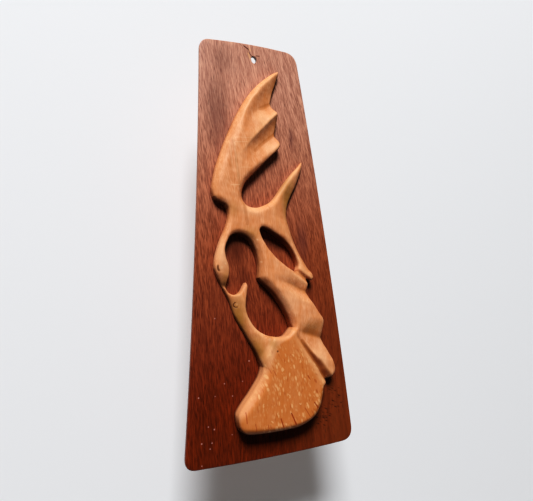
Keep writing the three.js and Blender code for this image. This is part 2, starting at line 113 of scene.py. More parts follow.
# %% Outline stretches: part, bevels as [width, drop] in mm, points as [x, z] in mm
OUTER_EDGE = [
    ("wing tip, right side", [[1.4, 0.8], [1.2, 0.7]],
     [[23, 315], [21.5, 311], [19.3, 304.7], [17, 299], [15.3, 293.5], [14.2, 289.3]]),
    ("second feather, upper side", [[1.2, 0.7], [1.2, 0.7]],
     [[15, 285.3], [16.6, 282.5], [18.2, 280]]),
    ("second feather, right side", [[1.2, 0.7], [1.2, 0.7]],
     [[18.7, 277.3], [18.5, 273.6], [17.8, 270], [16.9, 266], [15.9, 262.6]]),
    ("third feather", [[1.2, 0.7], [1.8, 1.2], [3.4, 2.6]],
     [[16, 259.6], [17.4, 257.3], [18.7, 254.5], [18.6, 251.3], [16, 247.2], [11.3, 243.1]]),
    ("wing, lower edge", [[3.4, 2.6], [4.6, 3.6], [5.4, 4.2]],
     [[5.9, 238.2], [0.2, 232.9], [-4.7, 228.2], [-10, 223.2]]),
    ("under the wing and up the small wing",
     [[5.4, 4.2], [6.5, 4.6], [4.6, 3.4], [3.4, 2.6], [3, 2.2], [2, 1.6]],
     [[-14.3, 218.7], [-16.8, 214.2], [-18, 210], [-18.1, 206.3], [-17.2, 203.2], [-14.9, 200.2],
      [-11.4, 198.2], [-7.8, 197.7], [-4.3, 198], [0.1, 199.6], [4.5, 201.6], [8.5, 204], [12.6, 208.1],
      [15.9, 212.2], [19.6, 217.1], [24.9, 223.4], [30.3, 229.2], [35.8, 234.3], [41.5, 240.5]]),
    ("small wing and tail strip, right edge", [[2, 1.2], [2, 1.2]],
     [[40.3, 234.5], [37.2, 226.5], [33.2, 218], [28.5, 210], [24.8, 203.5], [22.4, 196.5],
      [21.5, 189.5], [22.5, 182.7], [25, 173], [28.8, 163.5], [33.5, 154], [38.2, 146]]),
    ("tail strip, end", [[2, 1.4], [1.6, 1]],
     [[40.6, 141.8], [40.9, 139], [39.4, 137.2], [37.2, 137], [35.2, 137.6]]),
    ("flank, right edge", [[1.8, 1.2], [1.8, 1.2]],
     [[35.5, 134.5], [34.9, 131], [33.8, 127.2]]),
    ("body, right edge", [[1.8, 1.2], [2, 1.4]],
     [[35.5, 121.6], [38.6, 116], [42, 110.6], [45.3, 105.6], [46.5, 102.2], [46.2, 98.6], [45.4, 94],
      [44.7, 88.4]]),
    ("tail lobe", [[1.8, 1.2], [2.2, 1.6]],
     [[46.7, 83.4], [49.8, 77.3], [52.3, 72], [54.1, 66.7], [54.8, 62.8], [53.7, 59.7], [51.2, 57],
      [48.4, 55.2], [43.9, 52.5]]),
    ("nest, right and lower edge", [[2, 1.6], [3.4, 3], [4, 3.6], [4, 3.6], [4.4, 3.6]],
     [[41.4, 51], [40.4, 48.6], [39.7, 45], [38.3, 39.8], [36.1, 34.5], [32.6, 29.4], [27.3, 25.7],
      [22, 23.5], [15, 21.8], [4.4, 21.3], [-6.1, 21.3], [-14.9, 21.5], [-23.7, 22.2], [-28.6, 23.4],
      [-31.2, 25.6]]),
    ("nest, left edge", [[4.4, 3.6], [6, 4.4], [7, 4.8], [7.5, 4.8], [6, 4]],
     [[-32.6, 28.7], [-33.3, 33], [-33.1, 37.2], [-31.1, 40.8], [-27, 45.8], [-22.4, 50.8],
      [-17.9, 56.3], [-13.8, 61.7], [-11.5, 66.3], [-10.4, 70.8]]),
    ("chick, left edge", [[4, 3.8], [2.4, 1.8], [2.2, 1.4]],
     [[-11.1, 73.7], [-12.9, 79.9], [-15.6, 86.2], [-18.8, 92.2], [-22.4, 99], [-26, 105.4],
      [-29.2, 112], [-31.2, 118], [-33.1, 124], [-35.4, 129], [-37.4, 133.2]]),
    ("parent head, left edge", [[2, 1.4], [5, 3.8], [4.6, 3.4], [3, 2.2]],
     [[-39.2, 137], [-41.3, 141.3], [-43.4, 146.7], [-44.2, 150.8], [-43.4, 156.8], [-41.5, 163.1],
      [-39.2, 169.4], [-36.5, 175.2], [-33.5, 181.3], [-31.5, 187], [-30.6, 192.2]]),
    ("elbow, under side", [[3, 2.4], [3.4, 3], [3.6, 3.2]],
     [[-31, 196.7], [-33.2, 200], [-37, 202.2], [-40, 204], [-42.2, 206.5]]),
    ("elbow, left edge", [[3.6, 3.2], [7, 4.2], [9, 5]],
     [[-42.9, 211.8], [-42, 218], [-38.8, 230], [-35, 240]]),
    ("wing, leading edge", [[9, 5], [9, 5], [8, 4.6], [6, 3.8], [2.4, 1.8]],
     [[-31.5, 248.6], [-27.8, 256.7], [-23.8, 264.8], [-19.7, 273], [-14.6, 281.9], [-10, 289.3],
      [-5, 296.1], [0, 301.8], [6.1, 307.6], [12.4, 312.7], [18.6, 317], [23.6, 319.4]]),
]
LARGE_OPENING = [
    ("crown of the opening", [[5.4, 5.4], [5, 5.4], [4.6, 4.6], [4, 3.2], [3, 2.4]],
     [[-7.5, 146], [-7.4, 153], [-9, 162], [-12.4, 169.6], [-16.5, 174], [-21, 176.3], [-25, 176.6],
      [-28.6, 175.5], [-31.2, 173.2], [-33, 170.4]]),
    ("parent head, right edge", [[2.4, 1.8], [1.6, 1]],
     [[-34.6, 167], [-35.4, 162.5], [-34.7, 156.5], [-32.9, 151.5], [-32.4, 147], [-33, 143],
      [-34.2, 138.5], [-35, 134]]),
    ("chick mouth", [[1.6, 1.2], [1.6, 1.2]],
     [[-34.4, 131.8], [-32.7, 129.6], [-30, 128.2], [-27, 128.4], [-24, 130.4], [-21.6, 134],
      [-19.2, 137.6]]),
    ("chick, right edge", [[1.4, 1], [2.8, 2], [3, 2.2], [3.2, 2.4], [3, 2.2]],
     [[-17.9, 135.2], [-17.9, 132], [-19, 126.8], [-20, 122.2], [-20.4, 117.8], [-19.7, 113.2],
      [-18, 108.5], [-15, 103.2], [-11.1, 98.6], [-5.7, 95.1], [0, 93.4], [5.7, 92.6], [10.3, 92.8],
      [13, 94.6], [15.8, 97.4], [17.9, 99.6]]),
    ("body, left edge", [[4, 6.6], [5, 6.6], [5, 6], [5.6, 5.6]],
     [[16.2, 105.8], [13.9, 111.3], [11.2, 116.8], [8.3, 121.4], [4.9, 126.4], [1.4, 130.6],
      [-2.4, 134.3], [-6.1, 137.8], [-8.1, 140.8]]),
]
LEAF_HOLE = [
    ("leaf hole, lower edge", [[1.8, 1.2], [1.8, 1.2]],
     [[-4.7, 174.2], [-2.6, 169.6], [0.2, 164.6], [3.7, 160], [7.2, 155.8], [11.7, 152], [16, 148.6],
      [20.5, 145.9], [24.2, 144.3], [26.3, 144.8]]),
    ("leaf hole, upper edge", [[2, 1.6], [2.8, 2.4], [2.4, 2]],
     [[27.7, 149.6], [26.9, 155], [25.1, 159.4], [22.4, 163.9], [18.6, 168.6], [13.9, 172.5],
      [7.7, 176.3], [2.4, 179.3], [-2.1, 181], [-4.4, 180.8], [-5.8, 178.6]]),
]
SEAM_BLEND = 9  # samples to each side of a seam over which the bevels are eased


def closed_edge(stretches):
    """One closed line: samples, and the bevel's width and drop at each, averaged across the seams."""
    lines, widths, drops = [], [], []
    corner = stretches[-1][2][-1]
    for part, bevels, points in stretches:
        line, _ = smooth_line([corner] + points)
        corner = points[-1]
        reach = reach_along(line)
        along = reach[:-1] / reach[-1]
        bevel = np.array(bevels, float)
        steps = np.linspace(0, 1, len(bevel))
        lines.append(line[:-1])
        widths.append(np.interp(along, steps, bevel[:, 0]))
        drops.append(np.interp(along, steps, bevel[:, 1]))
        print(f"{part}: {reach[-1]:.0f} mm long")
    kernel = np.ones(2 * SEAM_BLEND + 1) / (2 * SEAM_BLEND + 1)
    width, drop = (np.convolve(np.pad(np.concatenate(v), SEAM_BLEND, mode="wrap"), kernel, "valid")
                   for v in (widths, drops))
    return np.vstack(lines), width, drop


edges = [closed_edge(stretches) for stretches in (OUTER_EDGE, LARGE_OPENING, LEAF_HOLE)]
edge_start = np.vstack([line for line, _, _ in edges])
edge_end = np.vstack([np.roll(line, -1, axis=0) for line, _, _ in edges])
edge_width = np.concatenate([width for _, width, _ in edges])
edge_drop = np.concatenate([drop for _, _, drop in edges])
edge_run = edge_end - edge_start
edge_length = np.linalg.norm(edge_run, axis=1)[:, None]
edge_outward = np.stack([-edge_run[:, 1], edge_run[:, 0]], axis=1) / edge_length
print(f"outline: {len(edge_start)} samples on {len(edges)} closed lines")

# %% [markdown]
# ## Distance to a line
# Almost every form of the relief depends on how far a point is from some line: a bevel from the
# outline, a gouge cut from its deepest line. For all points at once, the nearest sample is picked
# with one matrix product, and then the two segments that meet there are measured exactly.

# %% Nearest place on a chain of segments
CHUNK = 4000  # points measured at once, to keep the product small in memory
TINY = 1e-12


def on_segment(points, start, end):
    """Nearest share along each segment (offset . span / span . span), distance and side: +1 is left."""
    span = end - start
    offset = points - start
    share = np.clip((offset * span).sum(1) / np.maximum((span**2).sum(1), TINY), 0, 1)
    away = offset - share[:, None] * span
    side = np.where(span[:, 0] * offset[:, 1] - span[:, 1] * offset[:, 0] >= 0, 1.0, -1.0)
    return share, np.linalg.norm(away, axis=1), side


def nearest(points, start, end):
    """For each point: segment number, share along it, distance and side.

    The nearest start has the least start^2 - 2 point . start. The segment that ends there is tried too.
    """
    _, meeting = np.unique(np.round(np.vstack([start, end]), 6), axis=0, return_inverse=True)
    start_meeting, end_meeting = np.split(meeting.ravel(), 2)
    ending_here = np.full(meeting.max() + 1, -1)
    ending_here[end_meeting] = np.arange(len(end))
    before = ending_here[start_meeting]
    before = np.where(before < 0, np.arange(len(start)), before)
    best = np.concatenate([
        np.argmin((start**2).sum(1) - 2 * points[i:i + CHUNK] @ start.T, axis=1)
        for i in range(0, len(points), CHUNK)])
    ahead = on_segment(points, start[best], end[best])
    behind = on_segment(points, start[before[best]], end[before[best]])
    take = behind[1] < ahead[1]
    segment = np.where(take, before[best], best)
    share, distance, side = (np.where(take, b, a) for a, b in zip(ahead, behind))
    return segment, share, distance, side


def inside_rows(xs, zs, start, end):
    """Inside a closed drawing: along each grid row, every edge crossed flips between out and in."""
    low, high = start[:, 1][None], end[:, 1][None]
    row, edge = np.nonzero((low <= zs[:, None]) != (high <= zs[:, None]))
    t = (zs[row] - start[edge, 1]) / (end[edge, 1] - start[edge, 1])
    crossing = start[edge, 0] + t * (end[edge, 0] - start[edge, 0])
    flips = np.zeros((len(zs), len(xs) + 1), int)
    np.add.at(flips, (row, np.searchsorted(xs, crossing)), 1)
    return np.cumsum(flips, axis=1)[:, :-1] % 2 == 1


# %% [markdown]
# ## The grid
# The relief is a height over a grid of points half a millimetre apart. Points close to the outline
# are moved onto it, so the sawn edge is smooth and no cell is cut in two: a cell is kept whole, kept
# as one triangle, or dropped.

# %% Lay the grid and snap it to the outline
GRID = 0.5
MARGIN = 2.0
lowest = edge_start.min(0) - MARGIN
highest = edge_start.max(0) + MARGIN
grid_x = np.arange(lowest[0], highest[0], GRID)
grid_z = np.arange(lowest[1], highest[1], GRID)
x, z = np.meshgrid(grid_x, grid_z)
shape = x.shape
points = np.stack([x.ravel(), z.ravel()], axis=1)
segment, share, distance, _ = nearest(points, edge_start, edge_end)
foot = edge_start[segment] + share[:, None] * (edge_end[segment] - edge_start[segment])
within = inside_rows(grid_x, grid_z, edge_start, edge_end).ravel()
on_edge = distance <= GRID / 2
points[on_edge] = foot[on_edge]
distance = np.where(on_edge, 0.0, np.where(within, distance, -distance))
x, z = points[:, 0].reshape(shape), points[:, 1].reshape(shape)
print(f"grid {shape[1]} x {shape[0]}, {int(on_edge.sum())} points on the outline")

# %% [markdown]
# ## The face of the relief
# A carver first lowers the big masses: the wing tips lie low, the body and the nest stand high. Their
# heights are given at single spots, where a mass changes, and blended with a bell curve of distance.

# %% Big masses
HEIGHT_SPOTS = np.array([  # x, z, height
    # wing
    [23, 318, 6], [13, 311, 8], [5, 303, 9.2], [-4, 291, 10], [-14, 274, 10.5], [17, 280, 9.2],
    [8, 272, 10], [-4, 262, 10.8], [17, 252, 9.2], [6, 243, 9.8], [-6, 231, 10.3], [-24, 255, 10.6],
    [-33, 236, 9.8], [-38, 222, 9.4], [-39, 211, 8], [-18, 238, 11.2], [-26, 222, 11.3], [-17, 221, 10.6],
    # shoulder and small wing
    [-28, 207, 10.2], [-24, 198, 9.8], [-27, 188, 8.8], [-20, 183, 9], [-12, 192, 10.8], [0, 194, 11],
    [-2, 186, 11.8], [12, 192, 10.8], [14, 180, 10.4], [19, 188, 10], [20, 208, 9.8], [28, 220, 8.4],
    [35, 229, 7], [41, 239, 5.4],
    # tail strip
    [23, 176, 9.2], [27, 164, 8.8], [33, 152, 8.6], [38.5, 142, 8.4],
    # parent head
    [-31, 180, 9.2], [-36, 168, 8.8], [-39, 157, 9], [-38.5, 149, 8.8], [-37.5, 142, 7.2],
    [-36.5, 135, 4.6],
    # body
    [-12, 178, 10.4], [-9, 168, 10.8], [-3, 158, 11.6], [-3, 146, 11.8], [3, 140, 12.4], [9, 150, 12.2],
    [17, 142, 12.2], [26, 138, 11.6], [32, 133, 11.2], [10, 128, 12.8], [20, 124, 13], [32, 118, 12.8],
    [14, 116, 13.2], [24, 110, 13.5], [38, 110, 12.8], [43, 104, 12.4], [32, 102, 13.2], [22, 101, 13],
    # tail lobe
    [30, 92, 13], [40, 86, 12.6], [46, 80, 12.2], [44, 72, 12.2], [50, 66, 11.2], [52, 60, 10.4],
    # chick
    [-14, 80, 10.8], [-6, 87, 12.2], [-11, 74, 12.2], [-20, 92, 8.6], [-12, 97, 9.8], [-25, 104, 8.6],
    [-19, 107, 9.2], [-28, 115, 8.2], [-22, 117, 8.8], [-29, 124, 7.6], [-23, 125, 8], [-20, 131, 7.2],
    [-19.3, 136, 6.2], [-34, 130.5, 4.8],
    # nest
    [12, 85, 13.6], [10, 70, 14], [25, 75, 14], [0, 60, 14], [20, 50, 14], [-15, 45, 14], [-24, 34, 13.6],
    [5, 32, 14], [30, 38, 13.8], [36, 58, 13.6],
])
SPOT_REACH = 8.0
LEAST_WEIGHT = 1e-9


def blended_spots(x, z):
    """Weighted mean of the spot heights, each weight a bell curve exp(-distance^2 / (2 reach^2))."""
    apart = (x[..., None] - HEIGHT_SPOTS[:, 0])**2 + (z[..., None] - HEIGHT_SPOTS[:, 1])**2
    weight = np.exp(-apart / (2 * SPOT_REACH**2)) + LEAST_WEIGHT
    return (weight * HEIGHT_SPOTS[:, 2]).sum(-1) / weight.sum(-1)


height = blended_spots(x, z)
print(f"{len(HEIGHT_SPOTS)} heights blended over the grid")

# %% [markdown]
# ## The nest
# The nest is the highest and flattest part. Its face keeps the blank's own surface, and a broad
# flank leads from it down to the chick's neck and the tail. A soft maximum joins the two surfaces,
# as a scraper would.

# %% Nest face and its flank
NEST_TOP = 14.0
NEST_DROP = 8.0
FLANK_EASE = 1.9
NEST_SEAM = 0.8
NEST_OUTLINE = np.array([  # x, z, width of the flank inside it
    [21.5, 99, 4], [18, 103, 4], [10, 105, 3], [1, 99, 3], [-4, 95.5, 5], [-7, 89.5, 6],
    [-10.8, 84.2, 6.5], [-15, 79, 7], [-19, 73, 8], [-45, 62, 4], [-45, 10, 4], [60, 10, 4], [49, 51, 2],
    [45.5, 55.9, 2], [42.1, 60.6, 2], [39.2, 66.1, 2], [33.8, 73.5, 2], [27.3, 82.7, 2], [22, 92, 3]])


def soft_max(a, b, softness):
    """The larger of two heights, rounded where they cross: half of a + b + sqrt((a - b)^2 + s^2)."""
    return (a + b + np.sqrt((a - b)**2 + softness**2)) / 2


def nest_surface():
    """Height top - drop * (1 - share)^ease, and the share: 0 at the outline, 1 on the flat face."""
    start, end = NEST_OUTLINE, np.roll(NEST_OUTLINE, -1, axis=0)
    number, along, apart, _ = nearest(points, start[:, :2], end[:, :2])
    flank = start[number, 2] + along * (end[number, 2] - start[number, 2])
    inward = np.where(inside_rows(grid_x, grid_z, start, end), (apart / flank).reshape(shape), 0)
    share = np.clip(inward, 0, 1)
    return NEST_TOP - NEST_DROP * (1 - share)**FLANK_EASE, share


nest_height, nest_share = nest_surface()
height = np.where(nest_share > 0, soft_max(height, nest_height, NEST_SEAM), height)
print(f"nest face: {(nest_share == 1).sum() * GRID**2 / 100:.0f} cm2 lie flat")

# %% [markdown]
# ## Gouge cuts
# Feathers, folds and the groove beside the nest are cuts along a line. A cut has a depth and a width
# to either side at each station. Its section is depth * (1 - share^bend)^ease: bend above 1 makes a
# hollow scoop, ease above 1 lets the cut run out softly into the face. Where two cuts overlap, the
# deeper one counts, which leaves a crisp ridge between two feathers.

# %% Cuts: part, bend and ease on the [right, left], stations as [x, z, depth, right width, left width]
CUTS = [
    ("first feather", [1.7, 1.2], [1.0, 1.1],
     [[32, 306, 5.6, 15, 9], [23.1, 297.6, 5.6, 15.7, 9.3], [14.2, 289.3, 5.6, 16.4, 9.6],
      [8.5, 285.6, 5.2, 14.5, 11], [1.8, 282.4, 3.8, 10.6, 13.6], [-4, 277.5, 2.8, 7.5, 14.4],
      [-8.2, 269.7, 1.6, 7, 12], [-14, 261, 0, 6, 8]]),
    ("second feather", [2.2, 1.2], [1.0, 1.1],
     [[30, 275.8, 5, 11, 10], [23, 269.2, 5, 11, 10.2], [15.9, 262.6, 5, 11, 10.4],
      [9.1, 257.5, 4.6, 10, 11], [3.6, 252.9, 4, 9.3, 12], [-1.2, 249.2, 3.2, 8.5, 12],
      [-6, 244.4, 2.2, 8, 12], [-11, 239.6, 1.1, 7.5, 11], [-17, 234, 0, 7, 9]]),
    ("flank fold", [1.1, 1.1], [1.5, 1.6],
     [[42, 124, 4.2, 9, 9], [34, 127.1, 4.2, 10, 9], [29.2, 128.7, 4, 10.5, 9],
      [23.6, 131.8, 3.4, 10, 8.5], [18, 134.4, 2.5, 8.5, 8], [13, 135.8, 1.4, 7, 7],
      [3, 138.6, 0, 5, 5]]),
    ("tail fold", [1.2, 1.0], [1.5, 1.0],
     [[52, 86, 4.8, 17, 16], [44.7, 88.4, 4.8, 17, 16], [38, 91, 4.4, 16, 16], [32, 93.3, 3.4, 14.5, 15],
      [27.2, 94.6, 2.2, 12, 12], [20, 97, 0, 9, 6]]),
    ("groove beside the nest", [1.0, 1.2], [1.0, 1.4],
     [[49, 50.5, 7, 6, 5], [45.5, 55.9, 6.6, 5.4, 5], [42.1, 60.6, 6, 4.6, 5],
      [39.2, 66.1, 5.2, 3.8, 4.8], [33.8, 73.5, 4.2, 3, 4.4], [27.3, 82.7, 2.8, 2, 3.8],
      [20.2, 93.4, 0.6, 1, 3]]),
    ("end of the tail strip", [1.2, 1.0], [1.2, 1.0],
     [[25.5, 145.6, 2.6, 5, 2.2], [30.5, 141.5, 3.2, 5, 2.2], [36.5, 136.8, 3.6, 5, 2.2]]),
    ("right face of the small wing", [1.1, 1.0], [1.3, 1.0],
     [[41.5, 240.5, 1.2, 4, 2], [37.2, 226.5, 3, 7, 2], [33.2, 218, 4.2, 10, 2], [28.5, 210, 5, 13, 2],
      [24.8, 203.5, 5.4, 15, 2], [22.4, 196.5, 5, 15, 2], [21.5, 189.5, 4.4, 12, 2],
      [22.5, 182.7, 3, 7.5, 2], [25, 173, 2.4, 5.5, 2], [28.8, 163.5, 2.2, 5, 2], [33.5, 154, 2, 4.5, 2],
      [38.2, 146, 1.6, 4, 2]]),
    ("slope of the young bird's neck", [1.2, 1.0], [1.3, 1.0],
     [[-10.4, 70.8, 0.6, 6, 2], [-12.9, 79.9, 2.4, 9, 2], [-18.8, 92.2, 4.2, 10.5, 2],
      [-26, 105.4, 4.8, 10.5, 2], [-31.2, 118, 4.4, 10.5, 2], [-35, 128, 2.2, 7, 2],
      [-37.4, 133.2, 1.2, 5, 2]]),
    ("fold down the wing", [1.0, 1.0], [1.4, 1.2],
     [[-24.2, 256, 0, 3, 2], [-24.7, 251.9, 0.5, 5, 2], [-26.3, 239.8, 1.0, 8, 2.4],
      [-26.9, 230.6, 1.2, 8, 2.6], [-25.2, 218.9, 0.9, 7, 2.6], [-22.5, 208, 0, 5, 2]]),
    ("where the beaks meet", [1.0, 1.1], [1.2, 1.3],
     [[-42.5, 138.5, 2.6, 2.5, 8], [-37.6, 135.6, 2.8, 2.5, 8], [-33, 132.5, 2.2, 2.5, 7]]),
]


def gouge(bends, eases, stations):
    """Depth of one cut at every grid point: depth * (1 - share^bend)^ease at its line's nearest place."""
    line, place = smooth_line([station[:2] for station in stations])
    number, along, apart, side = nearest(points, line[:-1], line[1:])
    at = place[number] + along * (place[number + 1] - place[number])
    depth, right, left = (np.interp(at, np.arange(len(stations)), np.array(stations, float)[:, column])
                          for column in (2, 3, 4))
    share = np.clip(apart / np.where(side < 0, right, left), 0, 1)
    bend = np.where(side < 0, *bends)
    ease = np.where(side < 0, *eases)
    return (depth * (1 - share**bend)**ease).reshape(shape)


carved = np.zeros(shape)
for part, bends, eases, stations in CUTS:
    depth = gouge(bends, eases, stations)
    carved = np.maximum(carved, depth)
    print(f"{part}: up to {depth[within.reshape(shape)].max():.1f} mm deep")
height = height - carved

# %% [markdown]
# ## Softened crests
# Sandpaper rounds every crest and valley a little. A small blur over the kept points only does the
# same. A wider blur of the result tells which spots lie in a hollow and which stand proud, and the
# finish uses that later.

# %% Blur inside the outline
kept = (within | on_edge).reshape(shape)


def blur(values, reach):
    """Average of the kept points, each weighing exp(-distance^2 / (2 reach^2)), one axis at a time."""
    taps = np.arange(-int(3 * reach / GRID), int(3 * reach / GRID) + 1)
    kernel = np.exp(-(taps * GRID)**2 / (2 * reach**2))
    total, weight = values * kept, kept.astype(float)
    for axis in (0, 1):
        total, weight = (np.apply_along_axis(np.convolve, axis, grid, kernel, "same")
                         for grid in (total, weight))
    return total / np.maximum(weight, LEAST_WEIGHT)


SANDING = 0.55
HOLLOW_REACH = 3.0
FULLY_HOLLOW = 0.9
FULLY_PROUD = 0.7
height = np.where(kept, blur(height, SANDING), height)
stand = height - blur(height, HOLLOW_REACH)
hollow = np.clip(-stand / FULLY_HOLLOW, 0, 1)
proud = np.clip(stand / FULLY_PROUD, 0, 1)
print(f"hollows {-stand[kept].min():.1f} mm deep, crests {stand[kept].max():.1f} mm proud")

# %% [markdown]
# ## Edges and knife marks
# Along the outline the face runs down the bevel and then round a small radius into the sawn wall.
# Long, faint waves stay from the knife, so the light never runs over it quite evenly.

# %% Bevels, rounded rims and knife waves
BEVEL_EASE = 2.0
BEVEL_SANDING = 0.9
RIM_RADIUS = 1.2
LEAST_HEIGHT = 1.5
KNIFE_WAVES = [  # size in mm, then turns across, up and at the start
    (0.07, 0.55, 0.21, 1.3), (0.06, 0.17, -0.48, 0.4), (0.04, 0.9, -0.33, 2.2), (0.03, 0.31, 1.1, 0)]
NEST_CALM = 0.6
inset = np.maximum(distance, 0).reshape(shape)
width = edge_width[segment].reshape(shape)
drop = edge_drop[segment].reshape(shape)
bevel = blur(drop * (1 - np.clip(inset / width, 0, 1))**BEVEL_EASE, BEVEL_SANDING)
rim = RIM_RADIUS - np.sqrt(RIM_RADIUS**2 - (RIM_RADIUS - np.minimum(inset, RIM_RADIUS))**2)


def knife_waves(x, z):
    """Sum of size * sin(across * x + up * z + start), 0.2 mm at the most, weaker on the flat nest."""
    waves = sum(size * np.sin(across * x + up * z + start) for size, across, up, start in KNIFE_WAVES)
    return waves * (1 - NEST_CALM * nest_share)


height = np.where(kept, height - bevel - rim + knife_waves(x, z), height)
height = np.maximum(height, LEAST_HEIGHT)
print(f"face from {height[kept].min():.1f} to {height[kept].max():.1f} mm above the board")

# %% [markdown]
# ## From heights to a closed solid
# A cell with all four corners inside becomes a square face, and one with a single corner outside a
# triangle. Building the mesh straight from arrays keeps this quick, and every face's place is known.

# %% Faces over the grid
state = np.where(on_edge.reshape(shape), 0, np.where(within.reshape(shape), 1, -1))
number = np.arange(state.size).reshape(shape)
corners = [(slice(0, -1), slice(0, -1)), (slice(0, -1), slice(1, None)),
           (slice(1, None), slice(1, None)), (slice(1, None), slice(0, -1))]
cell_state = np.stack([state[c] for c in corners])
cell_number = np.stack([number[c] for c in corners])
centre_in = inside_rows(grid_x[:-1] + GRID / 2, grid_z[:-1] + GRID / 2, edge_start, edge_end)
outside = (cell_state < 0).sum(0)
solid = (cell_state > 0).any(0) | centre_in
quads = cell_number[:, (outside == 0) & solid].T
triangles = []
for missing in range(4):
    others = [(missing + step) % 4 for step in (1, 2, 3)]
    chosen = (outside == 1) & (cell_state[missing] < 0) & solid
    triangles.append(cell_number[others][:, chosen].T)
triangles = np.vstack(triangles)
print(f"{len(quads)} quads and {len(triangles)} triangles on the face")


def rim_edges(quads, triangles):
    """Directed edges that only one face uses: their reverse isn't in the list."""
    pairs = np.vstack([np.stack([f, np.roll(f, -1, axis=1)], axis=-1).reshape(-1, 2)
                       for f in (quads, triangles)])
    code = pairs[:, 0] * state.size + pairs[:, 1]
    back = pairs[:, 1] * state.size + pairs[:, 0]
    return pairs[~np.isin(code, back)]


rim_pairs = rim_edges(quads, triangles)
print(f"{len(rim_pairs)} edges round the outline")

# %% [markdown]
# ## Walls and a flat back
# The rim of the kept cells is carried down to the board in a few rows, so the sawn wall has faces of
# its own and takes the light as wood does. The flat back is filled with triangles between the rims.

# %% Walls
WALL_DROPS = np.array([0.35, 1.2])  # the first rows, in mm below the rim
WALL_SHARES = np.array([0.5, 1.0])  # the next rows, as a share of the way from there to the back
used = np.unique(np.concatenate([quads.ravel(), triangles.ravel()]))
renumber = np.full(state.size, -1)
renumber[used] = np.arange(len(used))
rim_points = np.unique(rim_pairs)
rim_rank = np.full(state.size, -1)
rim_rank[rim_points] = np.arange(len(rim_points))
flat_x, flat_z, flat_height = x.ravel(), z.ravel(), height.ravel()
top_height = flat_height[rim_points]
wall_heights = [top_height - down for down in WALL_DROPS]
wall_heights += [(top_height - WALL_DROPS[-1]) * (1 - share) for share in WALL_SHARES]
rows = [renumber[rim_pairs]]
vertices = [to_frame(flat_x[used], flat_z[used], flat_height[used])]
for row, row_height in enumerate(wall_heights):
    vertices.append(to_frame(flat_x[rim_points], flat_z[rim_points], row_height))
    rows.append(len(used) + row * len(rim_points) + rim_rank[rim_pairs])
walls = np.vstack([np.stack([upper[:, 1], upper[:, 0], lower[:, 0], lower[:, 1]], axis=1)
                   for upper, lower in zip(rows, rows[1:])])
print(f"{len(walls)} wall faces in {len(wall_heights)} rows")

# %% Flat back
FILL_INSIDE = 1
MERGE_DISTANCE = 1e-7
back_first = len(used) + (len(wall_heights) - 1) * len(rim_points)
flat_points = np.stack([flat_x[rim_points], flat_z[rim_points]], axis=1)
_, _, back_faces, origin, _, _ = geometry.delaunay_2d_cdt(
    [Vector(p) for p in flat_points.tolist()], rim_rank[rim_pairs].tolist(), [],
    FILL_INSIDE, MERGE_DISTANCE)
back_faces = np.array([[origin[v][0] for v in face] for face in back_faces])
middle = flat_points[back_faces].mean(1)


def inside_points(p, start, end):
    """Inside test for loose points: count the edges that cross the row to their left."""
    crosses = (start[:, 1] <= p[:, 1:]) != (end[:, 1] <= p[:, 1:])
    rise = end[:, 1] - start[:, 1]
    rise = np.where(np.abs(rise) < TINY, TINY, rise)
    at = start[:, 0] + (p[:, 1:] - start[:, 1]) / rise * (end[:, 0] - start[:, 0])
    return (crosses & (at < p[:, :1])).sum(1) % 2 == 1


back_faces = back_faces[inside_points(middle, edge_start, edge_end)]
a, b, c = (flat_points[back_faces[:, k]] for k in range(3))
turn = (b[:, 0] - a[:, 0]) * (c[:, 1] - a[:, 1]) - (b[:, 1] - a[:, 1]) * (c[:, 0] - a[:, 0])
back_faces = np.where(turn[:, None] > 0, back_faces[:, ::-1], back_faces) + back_first
print(f"{len(back_faces)} faces on the flat back")


# %% Build a mesh from arrays
def make_piece(name, vertices, face_sets, crease=None):
    """A named object from vertex and face arrays, shaded smooth, sharp past the crease in degrees."""
    mesh = bpy.data.meshes.new(name)
    faces = [face for faces in face_sets for face in faces.tolist()]
    mesh.from_pydata(vertices.tolist(), [], faces)
    mesh.validate()
    mesh.shade_smooth()
    if crease is not None:
        mesh.set_sharp_from_angle(angle=np.radians(crease))
    piece = bpy.data.objects.new(name, mesh)
    bpy.context.scene.collection.objects.link(piece)
    return piece


def set_attribute(piece, name, values):
    """Stores one number per vertex, for the finish to read."""
    attribute = piece.data.attributes.new(name, "FLOAT", "POINT")
    attribute.data.foreach_set("value", np.asarray(values, np.float32))


relief = make_piece("relief_carving", np.vstack(vertices),
                    [renumber[quads], renumber[triangles], walls, back_faces])
print(f"relief: {len(relief.data.vertices)} vertices, {len(relief.data.polygons)} faces")

# %% [markdown]
# ## What the finish needs to know
# Hollows are darker, partly from oil and dust and partly as painted shade, wear polishes what stands
# proud, and the nest's face is the blank's darker outer wood. The sawn walls are rougher, and the rims
# and walls that face away from the light get painted shade. Each is stored as a number on the vertices,
# and a wall repeats its rim's value.

# %% Attributes for the finish
def with_walls(values):
    """Values for the face's vertices, followed by the rim's values once for each wall row."""
    flat = values.ravel()
    return np.concatenate([flat[used]] + [flat[rim_points]] * len(wall_heights))


# Painted shade: rims and walls that face away from the light above are painted darker.
TOWARD_LIGHT = np.array([-0.35, 0.94])
SHADE_LEVEL = 0.5
SHADE_BY_FACING = 0.9
facing_light = (edge_outward[segment] @ TOWARD_LIGHT).reshape(shape)
edge_share = np.clip(1 - inset / RIM_RADIUS, 0, 1)
painted_shade_share = edge_share * np.clip(SHADE_LEVEL - SHADE_BY_FACING * facing_light, 0, 1)
for name, values in (("hollow", hollow), ("proud", proud), ("nest_face", nest_share**2),
                     ("edge", edge_share), ("painted_shade_edge", painted_shade_share)):
    set_attribute(relief, name, with_walls(values))
    print(f"{name}: {values[kept].mean():.2f} on average")

